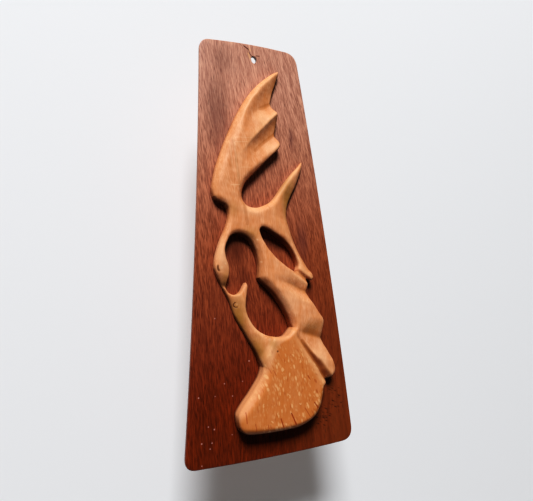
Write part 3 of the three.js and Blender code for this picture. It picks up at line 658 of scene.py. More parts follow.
# %% [markdown]
# ## The backboard
# The board is a flat, tapered slice with slightly bowed sides and rounded corners. It is made as one
# closed ring: at each of many directions round the nail hole a section runs from the hole's rim over
# the front, round the outer edge, over the back and through the hole.

# %% Board outline
TOP_HALF_WIDTH = 44.5
FOOT_HALF_WIDTH = 73.5
LEFT_CORNER = 9.0
RIGHT_CORNER = 12.5
SIDE_BOW = 2.2
END_BOW = 1.2
HOLE_X = 2.8
HOLE_Z = BOARD_HEIGHT - 13.6
HOLE_FRONT_RADIUS = 2.95
HOLE_BACK_RADIUS = 3.6


def half_width(z):
    """Half the board's width: a straight taper from foot to top."""
    return FOOT_HALF_WIDTH + (TOP_HALF_WIDTH - FOOT_HALF_WIDTH) * z / BOARD_HEIGHT


def bow(start, pull, end, step=1.5):
    """A parabola from start to end, drawn towards pull: (1-t)^2 a + 2t(1-t) b + t^2 c."""
    start, pull, end = (np.array(p, float) for p in (start, pull, end))
    t = np.linspace(0, 1, max(4, int(np.linalg.norm(end - start) / step)), endpoint=False)[:, None]
    return (1 - t)**2 * start + 2 * t * (1 - t) * pull + t**2 * end


def board_outline():
    """The eight stretches of the board's edge, anticlockwise from the left end of the foot."""
    low, high, middle = END_BOW, BOARD_HEIGHT - END_BOW, BOARD_HEIGHT / 2
    foot, top, bulge = half_width(low), half_width(high), half_width(middle) + 2 * SIDE_BOW

    def side(sign, end, inward):
        """The place on a side's straight taper a corner's length in from its end."""
        return [sign * half_width(end + inward), end + inward]

    left, right = LEFT_CORNER, RIGHT_CORNER
    return np.vstack([
        bow([left - foot, low], [0, low - 2 * END_BOW], [foot - right, low]),
        bow([foot - right, low], [foot, low], side(1, low, right)),
        bow(side(1, low, right), [bulge, middle], side(1, high, -right)),
        bow(side(1, high, -right), [top, high], [top - right, high]),
        bow([top - right, high], [0, high + 2 * END_BOW], [left - top, high]),
        bow([left - top, high], [-top, high], side(-1, high, -left)),
        bow(side(-1, high, -left), [4 * SIDE_BOW - bulge, middle], side(-1, low, left)),
        bow(side(-1, low, left), [-foot, low], [left - foot, low]),
    ])


# %% Board ring
EDGE_ROUND = 0.9
ROUND_STEPS = np.radians([0, 22.5, 45, 67.5, 90])
outline = board_outline()
ahead = np.roll(outline, -1, axis=0) - np.roll(outline, 1, axis=0)
outward = np.stack([ahead[:, 1], -ahead[:, 0]], axis=1) / np.linalg.norm(ahead, axis=1)[:, None]
to_outline = outline - [HOLE_X, HOLE_Z]
direction = to_outline / np.linalg.norm(to_outline, axis=1)[:, None]
turn_angle = np.arctan2(direction[:, 1], direction[:, 0])
print(f"board outline: {len(outline)} points")

# %% Rings of the nail hole and of the edge
CHIPS = [(0.14, 3, 0.6), (0.1, 7, 0), (0.07, 13, 2)]  # size in mm, how many round the hole, start
chipping = sum(size * np.sin(many * turn_angle + start) for size, many, start in CHIPS)
NAIL_WEAR = np.array([0.8, 1.02])  # the nail has drawn the hole out upright
NAIL_SHIFT = 0.3


def hole_ring(radius, depth):
    """A ring of the nail hole: centre + wear * direction * (radius + chips), depth behind the front."""
    place = [HOLE_X + NAIL_SHIFT, HOLE_Z] + NAIL_WEAR * direction * (radius + chipping)[:, None]
    return to_frame(place[:, 0], place[:, 1], np.full(len(outline), -depth))


def edge_ring(inset, depth):
    """A ring just inside the board's outline: outline - outward * inset, depth behind the front."""
    place = outline - outward * inset
    return to_frame(place[:, 0], place[:, 1], np.full(len(outline), -depth))


def between_rings(first, last, shares):
    """Rings across a flat face: first + (last - first) * share."""
    return [first + (last - first) * share for share in shares]


# %% From ring to ring, from the hole's front rim round the board and back through the hole
FRONT_SHARES = [0.1, 0.35, 0.7]
BACK_SHARES = [0.35, 0.7, 0.9]
HOLE_WALL = [  # radius, and depth behind the front, from the back to the front
    (HOLE_BACK_RADIUS, BOARD_THICK - 0.4),
    (HOLE_FRONT_RADIUS + 0.1, 0.9),
    (HOLE_FRONT_RADIUS + 0.12, 0.35),
]
front_hole = hole_ring(HOLE_FRONT_RADIUS + 0.5, 0)
front_rim = edge_ring(EDGE_ROUND, 0)
back_rim = edge_ring(EDGE_ROUND, BOARD_THICK)
back_hole = hole_ring(HOLE_BACK_RADIUS + 0.3, BOARD_THICK)
rings = [front_hole] + between_rings(front_hole, front_rim, FRONT_SHARES) + [front_rim]
rings += [edge_ring(EDGE_ROUND * (1 - np.sin(a)), EDGE_ROUND * (1 - np.cos(a))) for a in ROUND_STEPS[1:]]
rings += [edge_ring(EDGE_ROUND * (1 - np.cos(a)), BOARD_THICK - EDGE_ROUND * (1 - np.sin(a)))
          for a in ROUND_STEPS[:-1]]
rings += [back_rim] + between_rings(back_rim, back_hole, BACK_SHARES) + [back_hole]
rings += [hole_ring(radius, depth) for radius, depth in HOLE_WALL]
ring_vertices = np.vstack(rings)


def ring_faces(ring_count, ring_size):
    """Quads from each ring to the next: corner number = ring * ring size + place on the ring."""
    ring = np.arange(ring_count)[:, None] * ring_size
    after = (np.arange(1, ring_count + 1) % ring_count)[:, None] * ring_size
    spot = np.arange(ring_size)[None]
    beside = (spot + 1) % ring_size
    return np.stack([ring + spot, after + spot, after + beside, ring + beside], axis=-1).reshape(-1, 4)


SHARP_PAST = 40
board = make_piece("dark_backboard", ring_vertices, [ring_faces(len(rings), len(outline))], SHARP_PAST)
print(f"board: {len(rings)} rings of {len(outline)} points")

# %% [markdown]
# ## A check by volume
# A closed mesh whose faces look outwards encloses a positive volume, near that of the real wood. One
# line of numpy works it out, and shows faces turned inwards before any picture is made.

# %% Signed volume of both pieces
def enclosed_volume(piece):
    """Signed volume in cubic centimetres: the sum of a . (b x c) / 6 over all triangles."""
    mesh = piece.data
    mesh.calc_loop_triangles()
    place = np.empty(len(mesh.vertices) * 3)
    mesh.vertices.foreach_get("co", place)
    corner = np.empty(len(mesh.loop_triangles) * 3, int)
    mesh.loop_triangles.foreach_get("vertices", corner)
    p = place.reshape(-1, 3)[corner.reshape(-1, 3)]
    return np.einsum("ij,ij->i", p[:, 0], np.cross(p[:, 1], p[:, 2])).sum() / 6 * 1e6


for piece in (relief, board):
    print(f"{piece.name}: {enclosed_volume(piece):.1f} cm3")

# %% [markdown]
# ## Node helpers
# A finish is a small graph. A few helpers keep it readable: they fill a node's inputs, add a node, do
# arithmetic, turn a range of values into a soft mask, mix two colours and open a new group.

# %% Helpers for shader graphs
def plug(tree, node, inputs):
    """Fills a node's inputs by name or number: a socket is linked, anything else is a plain value."""
    for name, value in inputs.items():
        if isinstance(value, bpy.types.NodeSocket):
            tree.links.new(value, node.inputs[name])
        else:
            node.inputs[name].default_value = value
    return node


def add(tree, kind, settings=None, inputs=None):
    """Adds a node of a kind, sets its options and fills its inputs."""
    node = tree.nodes.new(kind)
    for name, value in (settings or {}).items():
        setattr(node, name, value)
    return plug(tree, node, inputs or {})


def calc(tree, operation, *values):
    """One arithmetic step on numbers or sockets."""
    return add(tree, "ShaderNodeMath", {"operation": operation}, dict(enumerate(values))).outputs[0]


def times(tree, first, second):
    """first * second."""
    return calc(tree, "MULTIPLY", first, second)


def soft_mask(tree, value, low, high):
    """0 up to low, 1 from high on, and 3 t^2 - 2 t^3 of the share t between. High may be the smaller."""
    span = {"Value": value, "From Min": low, "From Max": high}
    return add(tree, "ShaderNodeMapRange", {"interpolation_type": "SMOOTHSTEP"}, span).outputs["Result"]


MIX_FACTOR, MIX_FIRST, MIX_SECOND, MIX_RESULT = 0, 6, 7, 2  # the Mix node's sockets for colours


def blend_colour(tree, factor, first, second):
    """Mixes two colours: first * (1 - factor) + second * factor."""
    inputs = {MIX_FACTOR: factor, MIX_FIRST: first, MIX_SECOND: second}
    return add(tree, "ShaderNodeMix", {"data_type": "RGBA"}, inputs).outputs[MIX_RESULT]


def new_group(name, inputs, outputs):
    """A shader group with named sockets: its tree, what comes in and what goes out. None is a vector."""
    tree = bpy.data.node_groups.new(name, "ShaderNodeTree")
    for label, value in inputs.items():
        kind = "NodeSocketVector" if value is None else "NodeSocketFloat"
        socket = tree.interface.new_socket(label, in_out="INPUT", socket_type=kind)
        if value is not None:
            socket.default_value = value
    for label in outputs:
        tree.interface.new_socket(label, in_out="OUTPUT", socket_type="NodeSocketFloat")
    return tree, tree.nodes.new("NodeGroupInput").outputs, tree.nodes.new("NodeGroupOutput").inputs


def find_node(tree, kind):
    """The first node of a kind that a new material or world already holds."""
    return next(node for node in tree.nodes if node.type == kind)


def colour(red, green, blue):
    """A screen colour, 0 to 255, as linear light: ((c + 0.055) / 1.055)^2.4, or c / 12.92 when dark."""
    screen = np.array([red, green, blue]) / 255
    linear = np.where(screen <= 0.04045, screen / 12.92, ((screen + 0.055) / 1.055)**2.4)
    return (*linear.tolist(), 1.0)


# %% [markdown]
# ## Where a mark goes
# Every mark below is placed in the drawing's own millimetres, so the numbers match the carving's.

# %% Drawing coordinates inside a shader
def drawing_place(tree, vector):
    """Object coordinates to the drawing: x, depth and z in mm, z from the board's foot."""
    scaled = add(tree, "ShaderNodeVectorMath", {"operation": "SCALE"}, {0: vector, "Scale": 1 / MM})
    split = add(tree, "ShaderNodeSeparateXYZ", None, {0: scaled.outputs[0]})
    return split.outputs[0], split.outputs[1], calc(tree, "SUBTRACT", split.outputs[2], FOOT_Z)


# %% [markdown]
# ## Wood grain, for both woods
# Grain is noise that is drawn out along the tree's length and made to wander a little. The same
# group serves the dark board and the light relief, with its own fineness in each.

# %% Grain group
SWAY_ACROSS, SWAY_ALONG = 0.03, 0.012  # slow waves of the fibres, in waves per mm
FAN_LEFT, FAN_RIGHT = -50.0, 30.0  # between these the fan grows to its full share
FAN_LEAST = 0.4
GRAIN_SCALES = (("Fibre", 1.0, 1.0), ("Bands", 8.0, 2.0))  # how many times as broad, and as long again
SWAY_DETAIL, GRAIN_DETAIL = 2.0, 3.0


def noise(tree, x, y, z, detail):
    """Smooth noise between 0 and 1 at a place given by three numbers."""
    place = add(tree, "ShaderNodeCombineXYZ", None, {0: x, 1: y, 2: z}).outputs[0]
    inputs = {"Vector": place, "Scale": 1.0, "Detail": detail}
    return add(tree, "ShaderNodeTexNoise", None, inputs).outputs[0]


def wandering(tree, x, y, z, given):
    """x + (slow noise - 0.5) * Wander + share * Fan * z^2: fibres sway, and lean left as they climb."""
    sway = noise(tree, times(tree, x, SWAY_ACROSS), times(tree, y, SWAY_ACROSS),
                 times(tree, z, SWAY_ALONG), SWAY_DETAIL)
    swayed = calc(tree, "MULTIPLY_ADD", calc(tree, "SUBTRACT", sway, 0.5), given["Wander"], x)
    fan = times(tree, times(tree, z, z), given["Fan"])
    share = calc(tree, "MULTIPLY_ADD", soft_mask(tree, x, FAN_LEFT, FAN_RIGHT), 1 - FAN_LEAST, FAN_LEAST)
    return calc(tree, "MULTIPLY_ADD", fan, share, swayed)


def grain_group():
    """Fibre: fine noise, its lines as wide as Width and Stretch times as long. Bands: the same, broad."""
    tree, given, result = new_group("wood_grain", {
        "Vector": None, "Width": 0.6, "Stretch": 20.0, "Wander": 12.0, "Fan": 0.0}, ["Fibre", "Bands"])
    x, y, z = drawing_place(tree, given["Vector"])
    bent = wandering(tree, x, y, z, given)
    for label, broader, longer in GRAIN_SCALES:
        pitch = times(tree, given["Width"], broader)
        along = calc(tree, "DIVIDE", z, times(tree, given["Stretch"], longer))
        value = noise(tree, calc(tree, "DIVIDE", bent, pitch), calc(tree, "DIVIDE", y, pitch),
                      calc(tree, "DIVIDE", along, pitch), GRAIN_DETAIL)
        tree.links.new(value, result[label])
    return tree


grain = grain_group()
print(f"{grain.name}: {len(grain.nodes)} nodes")

# %% [markdown]
# ## Short marks: pores and flecks
# The board shows open pores as short dark dashes, and the nest shows pale ray flecks. Both are
# scattered cells, drawn out lengthwise: a mark fills the middle of a cell, and a random number per
# cell decides which cells have one.

# %% Dash group
DASH_FULL, DASH_END = 0.7, 1.6  # full up to this share of the half width, and faded out at that
FAINTEST_DASH = 0.2


def dash_group():
    """Mask of dashes Size mm wide and Ratio times as long, leaning by Lean, in a Share of all cells."""
    tree, given, result = new_group("short_dashes", {
        "Vector": None, "Size": 0.5, "Ratio": 6.0, "Lean": 0.0, "Spacing": 1.6, "Share": 0.4,
        "Wander": 12.0, "Fan": 0.0}, ["Mask"])
    x, y, z = drawing_place(tree, given["Vector"])
    leaning = calc(tree, "MULTIPLY_ADD", z, given["Lean"], wandering(tree, x, y, z, given))
    along = calc(tree, "DIVIDE", z, given["Ratio"])
    place = add(tree, "ShaderNodeCombineXYZ", None, {
        0: calc(tree, "DIVIDE", leaning, given["Spacing"]), 1: 0.0,
        2: calc(tree, "DIVIDE", along, given["Spacing"])}).outputs[0]
    cells = add(tree, "ShaderNodeTexVoronoi", {"voronoi_dimensions": "3D"}, {
        "Vector": place, "Scale": 1.0, "Randomness": 1.0})
    reach = calc(tree, "DIVIDE", times(tree, given["Size"], 0.5), given["Spacing"])
    shade = soft_mask(tree, calc(tree, "DIVIDE", cells.outputs["Distance"], reach), DASH_END, DASH_FULL)
    lot = add(tree, "ShaderNodeSeparateColor", None, {0: cells.outputs["Color"]})
    chosen = calc(tree, "LESS_THAN", lot.outputs[0], given["Share"])
    strength = calc(tree, "MULTIPLY_ADD", lot.outputs[1], 1 - FAINTEST_DASH, FAINTEST_DASH)
    tree.links.new(times(tree, times(tree, shade, chosen), strength), result["Mask"])
    return tree


dashes = dash_group()
print(f"{dashes.name}: {len(dashes.nodes)} nodes")

# %% [markdown]
# ## Single marks: spots, scratches and engraved arcs
# Stains, specks, cracks and both eyes each have their own place. A spot fades out over an ellipse, a
# stroke is everything close to a straight segment, and an arc is a stroke along part of a circle. All
# three are groups of one kind, and only the rule in the middle differs.

# %% Rules for single marks
LINE_FULL = 0.4  # a line is full up to this share of its width
ARC_END_FADE = 0.25


def dot(tree, first_x, first_z, second_x, second_z):
    """x1 * x2 + z1 * z2: how far one flat direction runs along another."""
    return calc(tree, "MULTIPLY_ADD", first_x, second_x, times(tree, first_z, second_z))


def length(tree, x, z):
    """The square root of x^2 + z^2."""
    return calc(tree, "SQRT", dot(tree, x, z, x, z))


def line_mask(tree, away, given):
    """1 near a line, and 0 from Width on."""
    return soft_mask(tree, calc(tree, "DIVIDE", away, given["Width"]), 1.0, LINE_FULL)


def spot_rule(tree, given, off_x, off_z):
    """1 at the centre, 0 where (x / half width)^2 + (z / half height)^2 passes 1."""
    across = calc(tree, "DIVIDE", off_x, given["Half Width"])
    along = calc(tree, "DIVIDE", off_z, given["Half Height"])
    return times(tree, soft_mask(tree, length(tree, across, along), 1.0, 0.0), given["Strength"])


def stroke_rule(tree, given, off_x, off_z):
    """Close to the segment to (X End, Z End): share t = offset . run / run . run, then the distance."""
    run_x = calc(tree, "SUBTRACT", given["X End"], given["X"])
    run_z = calc(tree, "SUBTRACT", given["Z End"], given["Z"])
    t = calc(tree, "DIVIDE", dot(tree, off_x, off_z, run_x, run_z), dot(tree, run_x, run_z, run_x, run_z))
    t = calc(tree, "MINIMUM", calc(tree, "MAXIMUM", t, 0.0), 1.0)
    away = length(tree, calc(tree, "SUBTRACT", off_x, times(tree, t, run_x)),
                  calc(tree, "SUBTRACT", off_z, times(tree, t, run_z)))
    return times(tree, line_mask(tree, away, given), given["Strength"])


def arc_rule(tree, given, off_x, off_z):
    """Close to a circle, where the cosine of the turn away from (Face X, Face Z) is above Least."""
    radius = length(tree, off_x, off_z)
    facing = calc(tree, "DIVIDE", dot(tree, off_x, off_z, given["Face X"], given["Face Z"]), radius)
    turned = soft_mask(tree, calc(tree, "SUBTRACT", facing, given["Least"]), 0.0, ARC_END_FADE)
    apart = calc(tree, "ABSOLUTE", calc(tree, "SUBTRACT", radius, given["Radius"]))
    return times(tree, line_mask(tree, apart, given), turned)


# %% Groups for single marks
def mark_group(name, rule, inputs):
    """A group that puts out one mask: the rule works it out from the offset to (X, Z), in mm."""
    tree, given, result = new_group(name, {"Vector": None, "X": 0.0, "Z": 0.0, **inputs}, ["Mask"])
    x, _, z = drawing_place(tree, given["Vector"])
    off_x, off_z = calc(tree, "SUBTRACT", x, given["X"]), calc(tree, "SUBTRACT", z, given["Z"])
    tree.links.new(rule(tree, given, off_x, off_z), result["Mask"])
    print(f"{name}: {len(tree.nodes)} nodes")
    return tree


spots = mark_group("soft_spot", spot_rule, {"Half Width": 10.0, "Half Height": 20.0, "Strength": 1.0})
strokes = mark_group("thin_stroke", stroke_rule, {
    "X End": 1.0, "Z End": 1.0, "Width": 0.5, "Strength": 1.0})
arcs = mark_group("engraved_arc", arc_rule, {
    "Radius": 2.0, "Face X": -1.0, "Face Z": 0.0, "Least": 0.5, "Width": 0.5})

# %% [markdown]
# ## Layers of colour
# Both woods are coloured as a finisher would do it: a ground, then one thin layer after another. Each
# layer has a mask that says where it lies, a strength and a colour, so a wood's whole look can be read
# from one list, and a layer can be taken out without touching the others.

# %% Marks, layers and the surface of a wood
FIBRE_DEPTH = 0.0002


def use(tree, group, inputs):
    """Places a group in a material with its own values."""
    return add(tree, "ShaderNodeGroup", {"node_tree": group}, inputs)


def gather(tree, place, group, rows):
    """The strongest mask of one group over all its rows, each in the order of the group's inputs."""
    mask = 0.0
    for row in rows:
        node = use(tree, group, dict(enumerate((place, *row))))
        mask = calc(tree, "MAXIMUM", mask, node.outputs["Mask"])
    return mask


def laid_over(tree, tone, layers):
    """The colour so far under one layer after another: each has a mask, a strength and a colour."""
    for mask, strength, tint in layers:
        tone = blend_colour(tree, times(tree, mask, strength), tone, colour(*tint))
    return tone


def new_finish(name):
    """A material with its shader and the object coordinates."""
    material = bpy.data.materials.new(name)
    material.use_nodes = True
    tree = material.node_tree
    place = add(tree, "ShaderNodeTexCoord").outputs["Object"]
    return material, tree, find_node(tree, "BSDF_PRINCIPLED"), place


def cover(tree, shader, tone, rough, raised, bump, gloss):
    """Gives a wood's shader its colour, its roughness and its raised and cut-in fibres."""
    inputs = {"Height": raised, "Strength": bump, "Distance": FIBRE_DEPTH}
    normal = add(tree, "ShaderNodeBump", None, inputs).outputs[0]
    plug(tree, shader, {"Base Color": tone, "Roughness": rough, "Normal": normal,
                        "Specular IOR Level": gloss})


# %% [markdown]
# ## The dark board's finish
# Dark, red-brown wood with long grain that fans out to the left as it climbs, many short pores, a few
# stained places, and a satin varnish. Towards the top it is painted paler and pinker, as a painted sheen
# of the light above. A crack runs from the nail hole to the top edge, and at the lower right there are
# rows of shallow strokes that are too worn to make out, painted near black, partly as the shadow beside
# the nest. Painted shadow darkens the board inside both openings, painted shade the nail hole's wall,
# and painted highlights lie beside the hole and the crack. Apart from the shade in the nail hole, the
# marks lie on the front alone.

# %% Marks on the board: x, z and sizes in mm, and strength
STAINS = [
    (-33, 278, 16, 55, 0.5), (34, 262, 3.5, 15, 0.6), (38, 172, 9, 26, 0.5), (-26, 325, 18, 20, 0.35),
]
# Painted shadow on the board inside both openings, below their upper edges.
OPENING_SHADOW = [(-24, 164, 14, 20, 0.8), (-20, 140, 16, 22, 0.35), (6, 168, 18, 14, 0.5)]
SPECKS = [
    (-18.1, 75.8, 0.9, 0.9, 0.9), (-39.6, 60.8, 0.8, 0.8, 0.7), (-24.6, 60.8, 0.7, 0.7, 0.6),
    (-47.6, 52.3, 0.7, 0.7, 0.6), (-33.6, 50.8, 0.8, 0.8, 0.7), (-60.6, 52.8, 0.9, 0.9, 0.8),
    (-54.1, 30.8, 0.8, 0.8, 0.8), (-49.6, 28.3, 0.9, 0.9, 0.9), (-59.9, 19.5, 0.9, 0.9, 0.9),
    (-51.9, 18.8, 0.8, 0.8, 0.9), (-53.6, 14.8, 0.8, 0.8, 0.8), (-60.6, 3.8, 0.8, 0.8, 0.7),
    (-35.6, 22.3, 0.7, 0.7, 0.6), (-44.6, 110.8, 0.8, 0.8, 0.7),
]
HOLE_CRACK = [
    (-9.4, 342.5, -7.7, 340.1, 0.5, 0.4), (-5.4, 340.5, -1.6, 338.1, 0.8, 0.9),
    (-1.8, 338.3, -0.6, 334.8, 0.5, 0.45), (-0.9, 335.0, 1.4, 332.2, 0.7, 0.7),
    (5.8, 333.2, 8.4, 333.3, 0.7, 0.75),
]
# Painted highlights: pale strokes beside the nail hole and the crack, where their edges catch the light.
HOLE_HIGHLIGHTS = [(-1.9, 334.4, -0.5, 330.1, 0.9, 0.7), (-0.6, 338.4, 0.4, 337.2, 0.9, 0.6)]
# Real worn strokes; their near-black colour also stands in for the nest's shadow that falls here.
WORN_STROKE_ROWS = [(44, 24, 14, 13, 1.0), (58, 38, 13, 14, 1.0)]
WORN_STROKE_TURN = 0.6
HOLE_SURROUND = [(HOLE_X, HOLE_Z, 12, 12, 1.0)]


# %% The board's ground colour
BOARD_FAN = 0.0004
MIDDLE_FADE = (30.0, 230.0)  # heights over which the lower tone passes into the middle one
TOP_FADE = (150.0, 345.0)
WARM_ACROSS, WARM_DOWN = (-10.0, 60.0), (200.0, 60.0)
BOARD_FIBRES, BOARD_BANDS = (0.26, 0.74), (0.4, 0.7)  # noise values that count as no line and full line
# Painted sheen: both fibre colours grow paler and pinker towards the top, where the light above is
# reflected.
DARK_FIBRE = [(84, 28, 6), (116, 58, 34), (156, 104, 88)]  # at the foot, in the middle and at the top
LIGHT_FIBRE = [(132, 52, 14), (184, 106, 72), (222, 168, 142)]


def board_ground(tree, place, fine):
    """Dark and light fibres, both paler towards the top as a painted sheen, warmer at the lower right,
    with broad bands.
    """
    x, _, z = drawing_place(tree, place)
    middle = soft_mask(tree, z, *MIDDLE_FADE)
    upper = soft_mask(tree, z, *TOP_FADE)
    dark, light = (
        blend_colour(tree, upper, blend_colour(tree, middle, colour(*foot), colour(*waist)), colour(*top))
        for foot, waist, top in (DARK_FIBRE, LIGHT_FIBRE))
    tone = blend_colour(tree, soft_mask(tree, fine.outputs["Fibre"], *BOARD_FIBRES), dark, light)
    warm = times(tree, soft_mask(tree, x, *WARM_ACROSS), soft_mask(tree, z, *WARM_DOWN))
    tone = laid_over(tree, tone, [(warm, 0.6, (136, 72, 36))])
    bands = soft_mask(tree, fine.outputs["Bands"], *BOARD_BANDS)
    return blend_colour(tree, times(tree, bands, 0.35), tone, dark)


# %% Worn strokes, and painted shade on the nail hole's wall
AT_FRONT = (-0.5, -1.5)  # depths in mm over which a mark of the front sets in
BELOW_FRONT, ABOVE_BACK = (-0.1, -0.5), (-3.8, -3.2)
NEAR_HOLE = (0.4, 0.5)
WORN_ROWS = (0.1, 0.5)


def worn_strokes(tree, place, here):
    """Rows of slanting dashes, only where the worn places are."""
    turned = add(tree, "ShaderNodeVectorRotate", {"rotation_type": "Y_AXIS"}, {
        "Vector": place, "Angle": WORN_STROKE_TURN})
    rows = use(tree, dashes, {"Vector": turned.outputs[0], "Size": 0.8, "Ratio": 3.0, "Lean": 0.5,
                              "Spacing": 1.5, "Share": 0.8, "Wander": 0.0})
    return times(tree, rows.outputs["Mask"], soft_mask(tree, here, *WORN_ROWS))


def hole_shade(tree, place, depth):
    """Painted shade on the nail hole's wall: close to the hole, and between the two faces."""
    near = soft_mask(tree, gather(tree, place, spots, HOLE_SURROUND), *NEAR_HOLE)
    between = times(tree, soft_mask(tree, depth, *ABOVE_BACK), soft_mask(tree, depth, *BELOW_FRONT))
    return times(tree, near, between)


# %% Dark wood
SATIN = (0.16, 0.34)  # roughness: how much the fibres add, and its least value


def dark_wood():
    """The board's finish: its ground, its marks, and a satin surface cut in by pores and strokes."""
    material, tree, shader, place = new_finish("dark_wood")
    _, depth, _ = drawing_place(tree, place)
    front = soft_mask(tree, depth, *AT_FRONT)

    def on_front(group, rows):
        """The strongest mark of a table, on the front alone: the back stays plain."""
        return times(tree, gather(tree, place, group, rows), front)

    fine = use(tree, grain, {
        "Vector": place, "Width": 0.62, "Stretch": 11.0, "Wander": 10.0, "Fan": BOARD_FAN})
    pores = use(tree, dashes, {
        "Vector": place, "Size": 0.5, "Ratio": 6.0, "Spacing": 1.0, "Share": 0.5,
        "Wander": 10.0, "Fan": BOARD_FAN}).outputs["Mask"]
    crack = on_front(strokes, HOLE_CRACK)
    worn = worn_strokes(tree, place, on_front(spots, WORN_STROKE_ROWS))
    tone = laid_over(tree, board_ground(tree, place, fine), [
        (on_front(spots, STAINS), 1.0, (92, 52, 50)),
        # painted shadow inside the openings
        (on_front(spots, OPENING_SHADOW), 1.0, (78, 30, 10)),
        (pores, 0.5, (52, 16, 8)),
        (on_front(spots, SPECKS), 1.0, (215, 160, 150)),
        # painted highlights by the nail hole and the crack
        (on_front(strokes, HOLE_HIGHLIGHTS), 1.0, (222, 168, 120)),
        (crack, 1.0, (70, 24, 14)),
        # worn strokes, their near-black partly a painted shadow beside the nest
        (worn, 0.9, (38, 10, 4)),
        # painted shade on the nail hole's wall
        (hole_shade(tree, place, depth), 0.85, (36, 12, 4)),
    ])
    rough = calc(tree, "MULTIPLY_ADD", fine.outputs["Fibre"], *SATIN)
    cut_in = calc(tree, "MAXIMUM", calc(tree, "MAXIMUM", pores, worn), crack)
    raised = calc(tree, "SUBTRACT", times(tree, fine.outputs["Fibre"], 0.5), cut_in)
    cover(tree, shader, tone, rough, raised, bump=0.4, gloss=0.3)
    return material


# %% [markdown]
# ## The light relief's finish
# Close-grained orange-tan wood, sanded and waxed. Hollows look olive brown, partly from oil and partly
# as painted shade, and what stands proud is polished paler. Painted shade also lies along valleys, on
# slopes that turn from the light, where the beaks meet and on rims and walls that face away from the
# light, and painted highlights lie on faces and edges that catch the light and beside both eyes. The
# nest's face is a deeper orange, scattered with pale ray flecks. Both eyes are engraved arcs, and the
# nest has a few short cracks.

# %% Marks on the relief: x, z and sizes in mm, and strength
EYES = [  # x, z, radius, facing x and z, least cosine to that way, line width
    (-37.9, 150.0, 4.4, -0.98, -0.2, 0.72, 0.95), (-28.2, 120.2, 1.9, -0.93, -0.37, -0.3, 0.55),
]
# Painted highlights beside the eyes, where the raised eyeballs catch the light.
EYE_HIGHLIGHTS = [(-39.6, 149.6, 2, 2.2, 0.5), (-27.6, 120.6, 1.4, 1.4, 0.4)]
# The first spot is painted shade where the parent's beak meets the chick's mouth; the others are small
# dark spots.
DARK_SPOTS = [(-36.6, 136.6, 3.2, 4.6, 0.75), (0.7, 82.2, 1.3, 1.3, 1.0), (47.8, 58.1, 1.2, 1.2, 0.4)]
NEST_CRACKS = [
    (-28.6, 39.5, -28.4, 31.7, 0.5, 0.7), (-21.7, 30.2, -21.0, 25.0, 0.5, 0.6),
    (-11.4, 28.2, -11.2, 23.8, 0.5, 0.5), (-0.3, 31.0, 1.4, 24.8, 0.7, 0.9),
    (9.0, 33.8, 12.5, 24.9, 0.8, 1.0), (30.1, 39.2, 33.0, 34.9, 0.7, 0.9),
    (21.2, 36.2, 25.2, 29.1, 0.5, 0.6), (25.8, 60.6, 27.5, 57.7, 0.6, 0.7), (-4, 68, -2, 64, 0.4, 0.5),
]
HIGHLIGHT_BANDS = [  # the nest's left and upper edges, painted pale as a highlight: x and z of both ends, reach, strength
    (-36, 38, -17, 63, 8, 0.4), (-14, 64, -4, 84, 6, 0.4), (-2, 88, 14, 96, 4, 0.4),
    (-18.5, 109, -8.5, 96.5, 1.7, 0.5), (-8.5, 96.5, 11, 92.8, 1.7, 0.5),
]
# Painted highlights on faces that catch the light: head, body, shoulder, tail lobe and wing.
HIGHLIGHT_SPOTS = [
    (-38, 160, 8, 22, 0.7), (14, 118, 14, 14, 0.5), (-12, 196, 14, 9, 0.6), (41, 76, 12, 20, 0.5),
    (4, 274, 12, 12, 0.5), (10, 248, 12, 10, 0.5),
]
FLECK_CROWD = [(10, 48, 44, 52, 1.0)]
SHADE_SPOTS = [  # painted shade: darker, olive places where the forms turn from the light
    (-27, 106, 10, 34, 0.95), (-36, 141, 5, 9, 0.5), (-14, 176, 12, 9, 0.5), (-28, 196, 8, 10, 0.4),
    (24, 205, 12, 30, 0.9), (22, 300, 7, 16, 0.5), (35, 98, 16, 8, 0.45), (-14, 84, 11, 18, 0.8),
    (-3, 88, 6, 8, 0.6),
]
SHADE_LINES = [  # painted shade along valleys, folds and the nest's lower edge: x and z of both ends, reach, strength
    (47, 57, 38, 69, 5, 0.7), (38, 69, 24, 88, 2.5, 0.7), (28, 96, 44, 91, 4, 0.5),
    (-31, 24, 5, 20, 5, 0.7), (5, 20, 28, 24, 5, 0.7), (28, 24, 41, 48, 4, 0.5),
    (-24.4, 252, -23.2, 236, 1.4, 0.35), (-23.2, 236, -21.4, 214, 1.6, 0.4),
    (-18, 200, -16.5, 184, 2, 0.4), (15.5, 262, 4, 253.4, 2, 0.5), (4, 253.4, -5, 245.4, 2, 0.4),
    (13.6, 288.6, 3, 283, 2.4, 0.4),
]
SCRATCHES = [
    (-24.9, 254.6, -8.4, 255.1, 0.4, 0.45), (-22.8, 250.6, -12.6, 251.4, 0.5, 0.5),
    (-19.8, 229.7, -10.0, 230.3, 0.5, 0.45), (-28.3, 215.2, -21.2, 215.5, 0.6, 0.6),
    (-26.0, 215.3, -26.1, 208.9, 0.4, 0.5), (-24.0, 253.7, -22.3, 220.8, 0.9, 0.4),
    (-27.5, 251.6, -25.7, 226.1, 0.7, 0.3), (-36.6, 152.9, -36.2, 152.3, 0.7, 0.8),
    (-9.2, 171.2, -8.8, 170.8, 0.8, 0.8), (-6.2, 153.3, -5.9, 153.0, 0.8, 0.8),
    (9.8, 124.3, 10.1, 123.9, 0.8, 0.8),
]


# %% Flecks on the nest
FLECK_LEAN = 0.24
FLECK_WANDER = 30.0
CROWD_FADE = (0.0, 0.35)
CLUMPING = (3.0, -0.8)  # the share of cells with a fleck is the noise times the first, plus the second


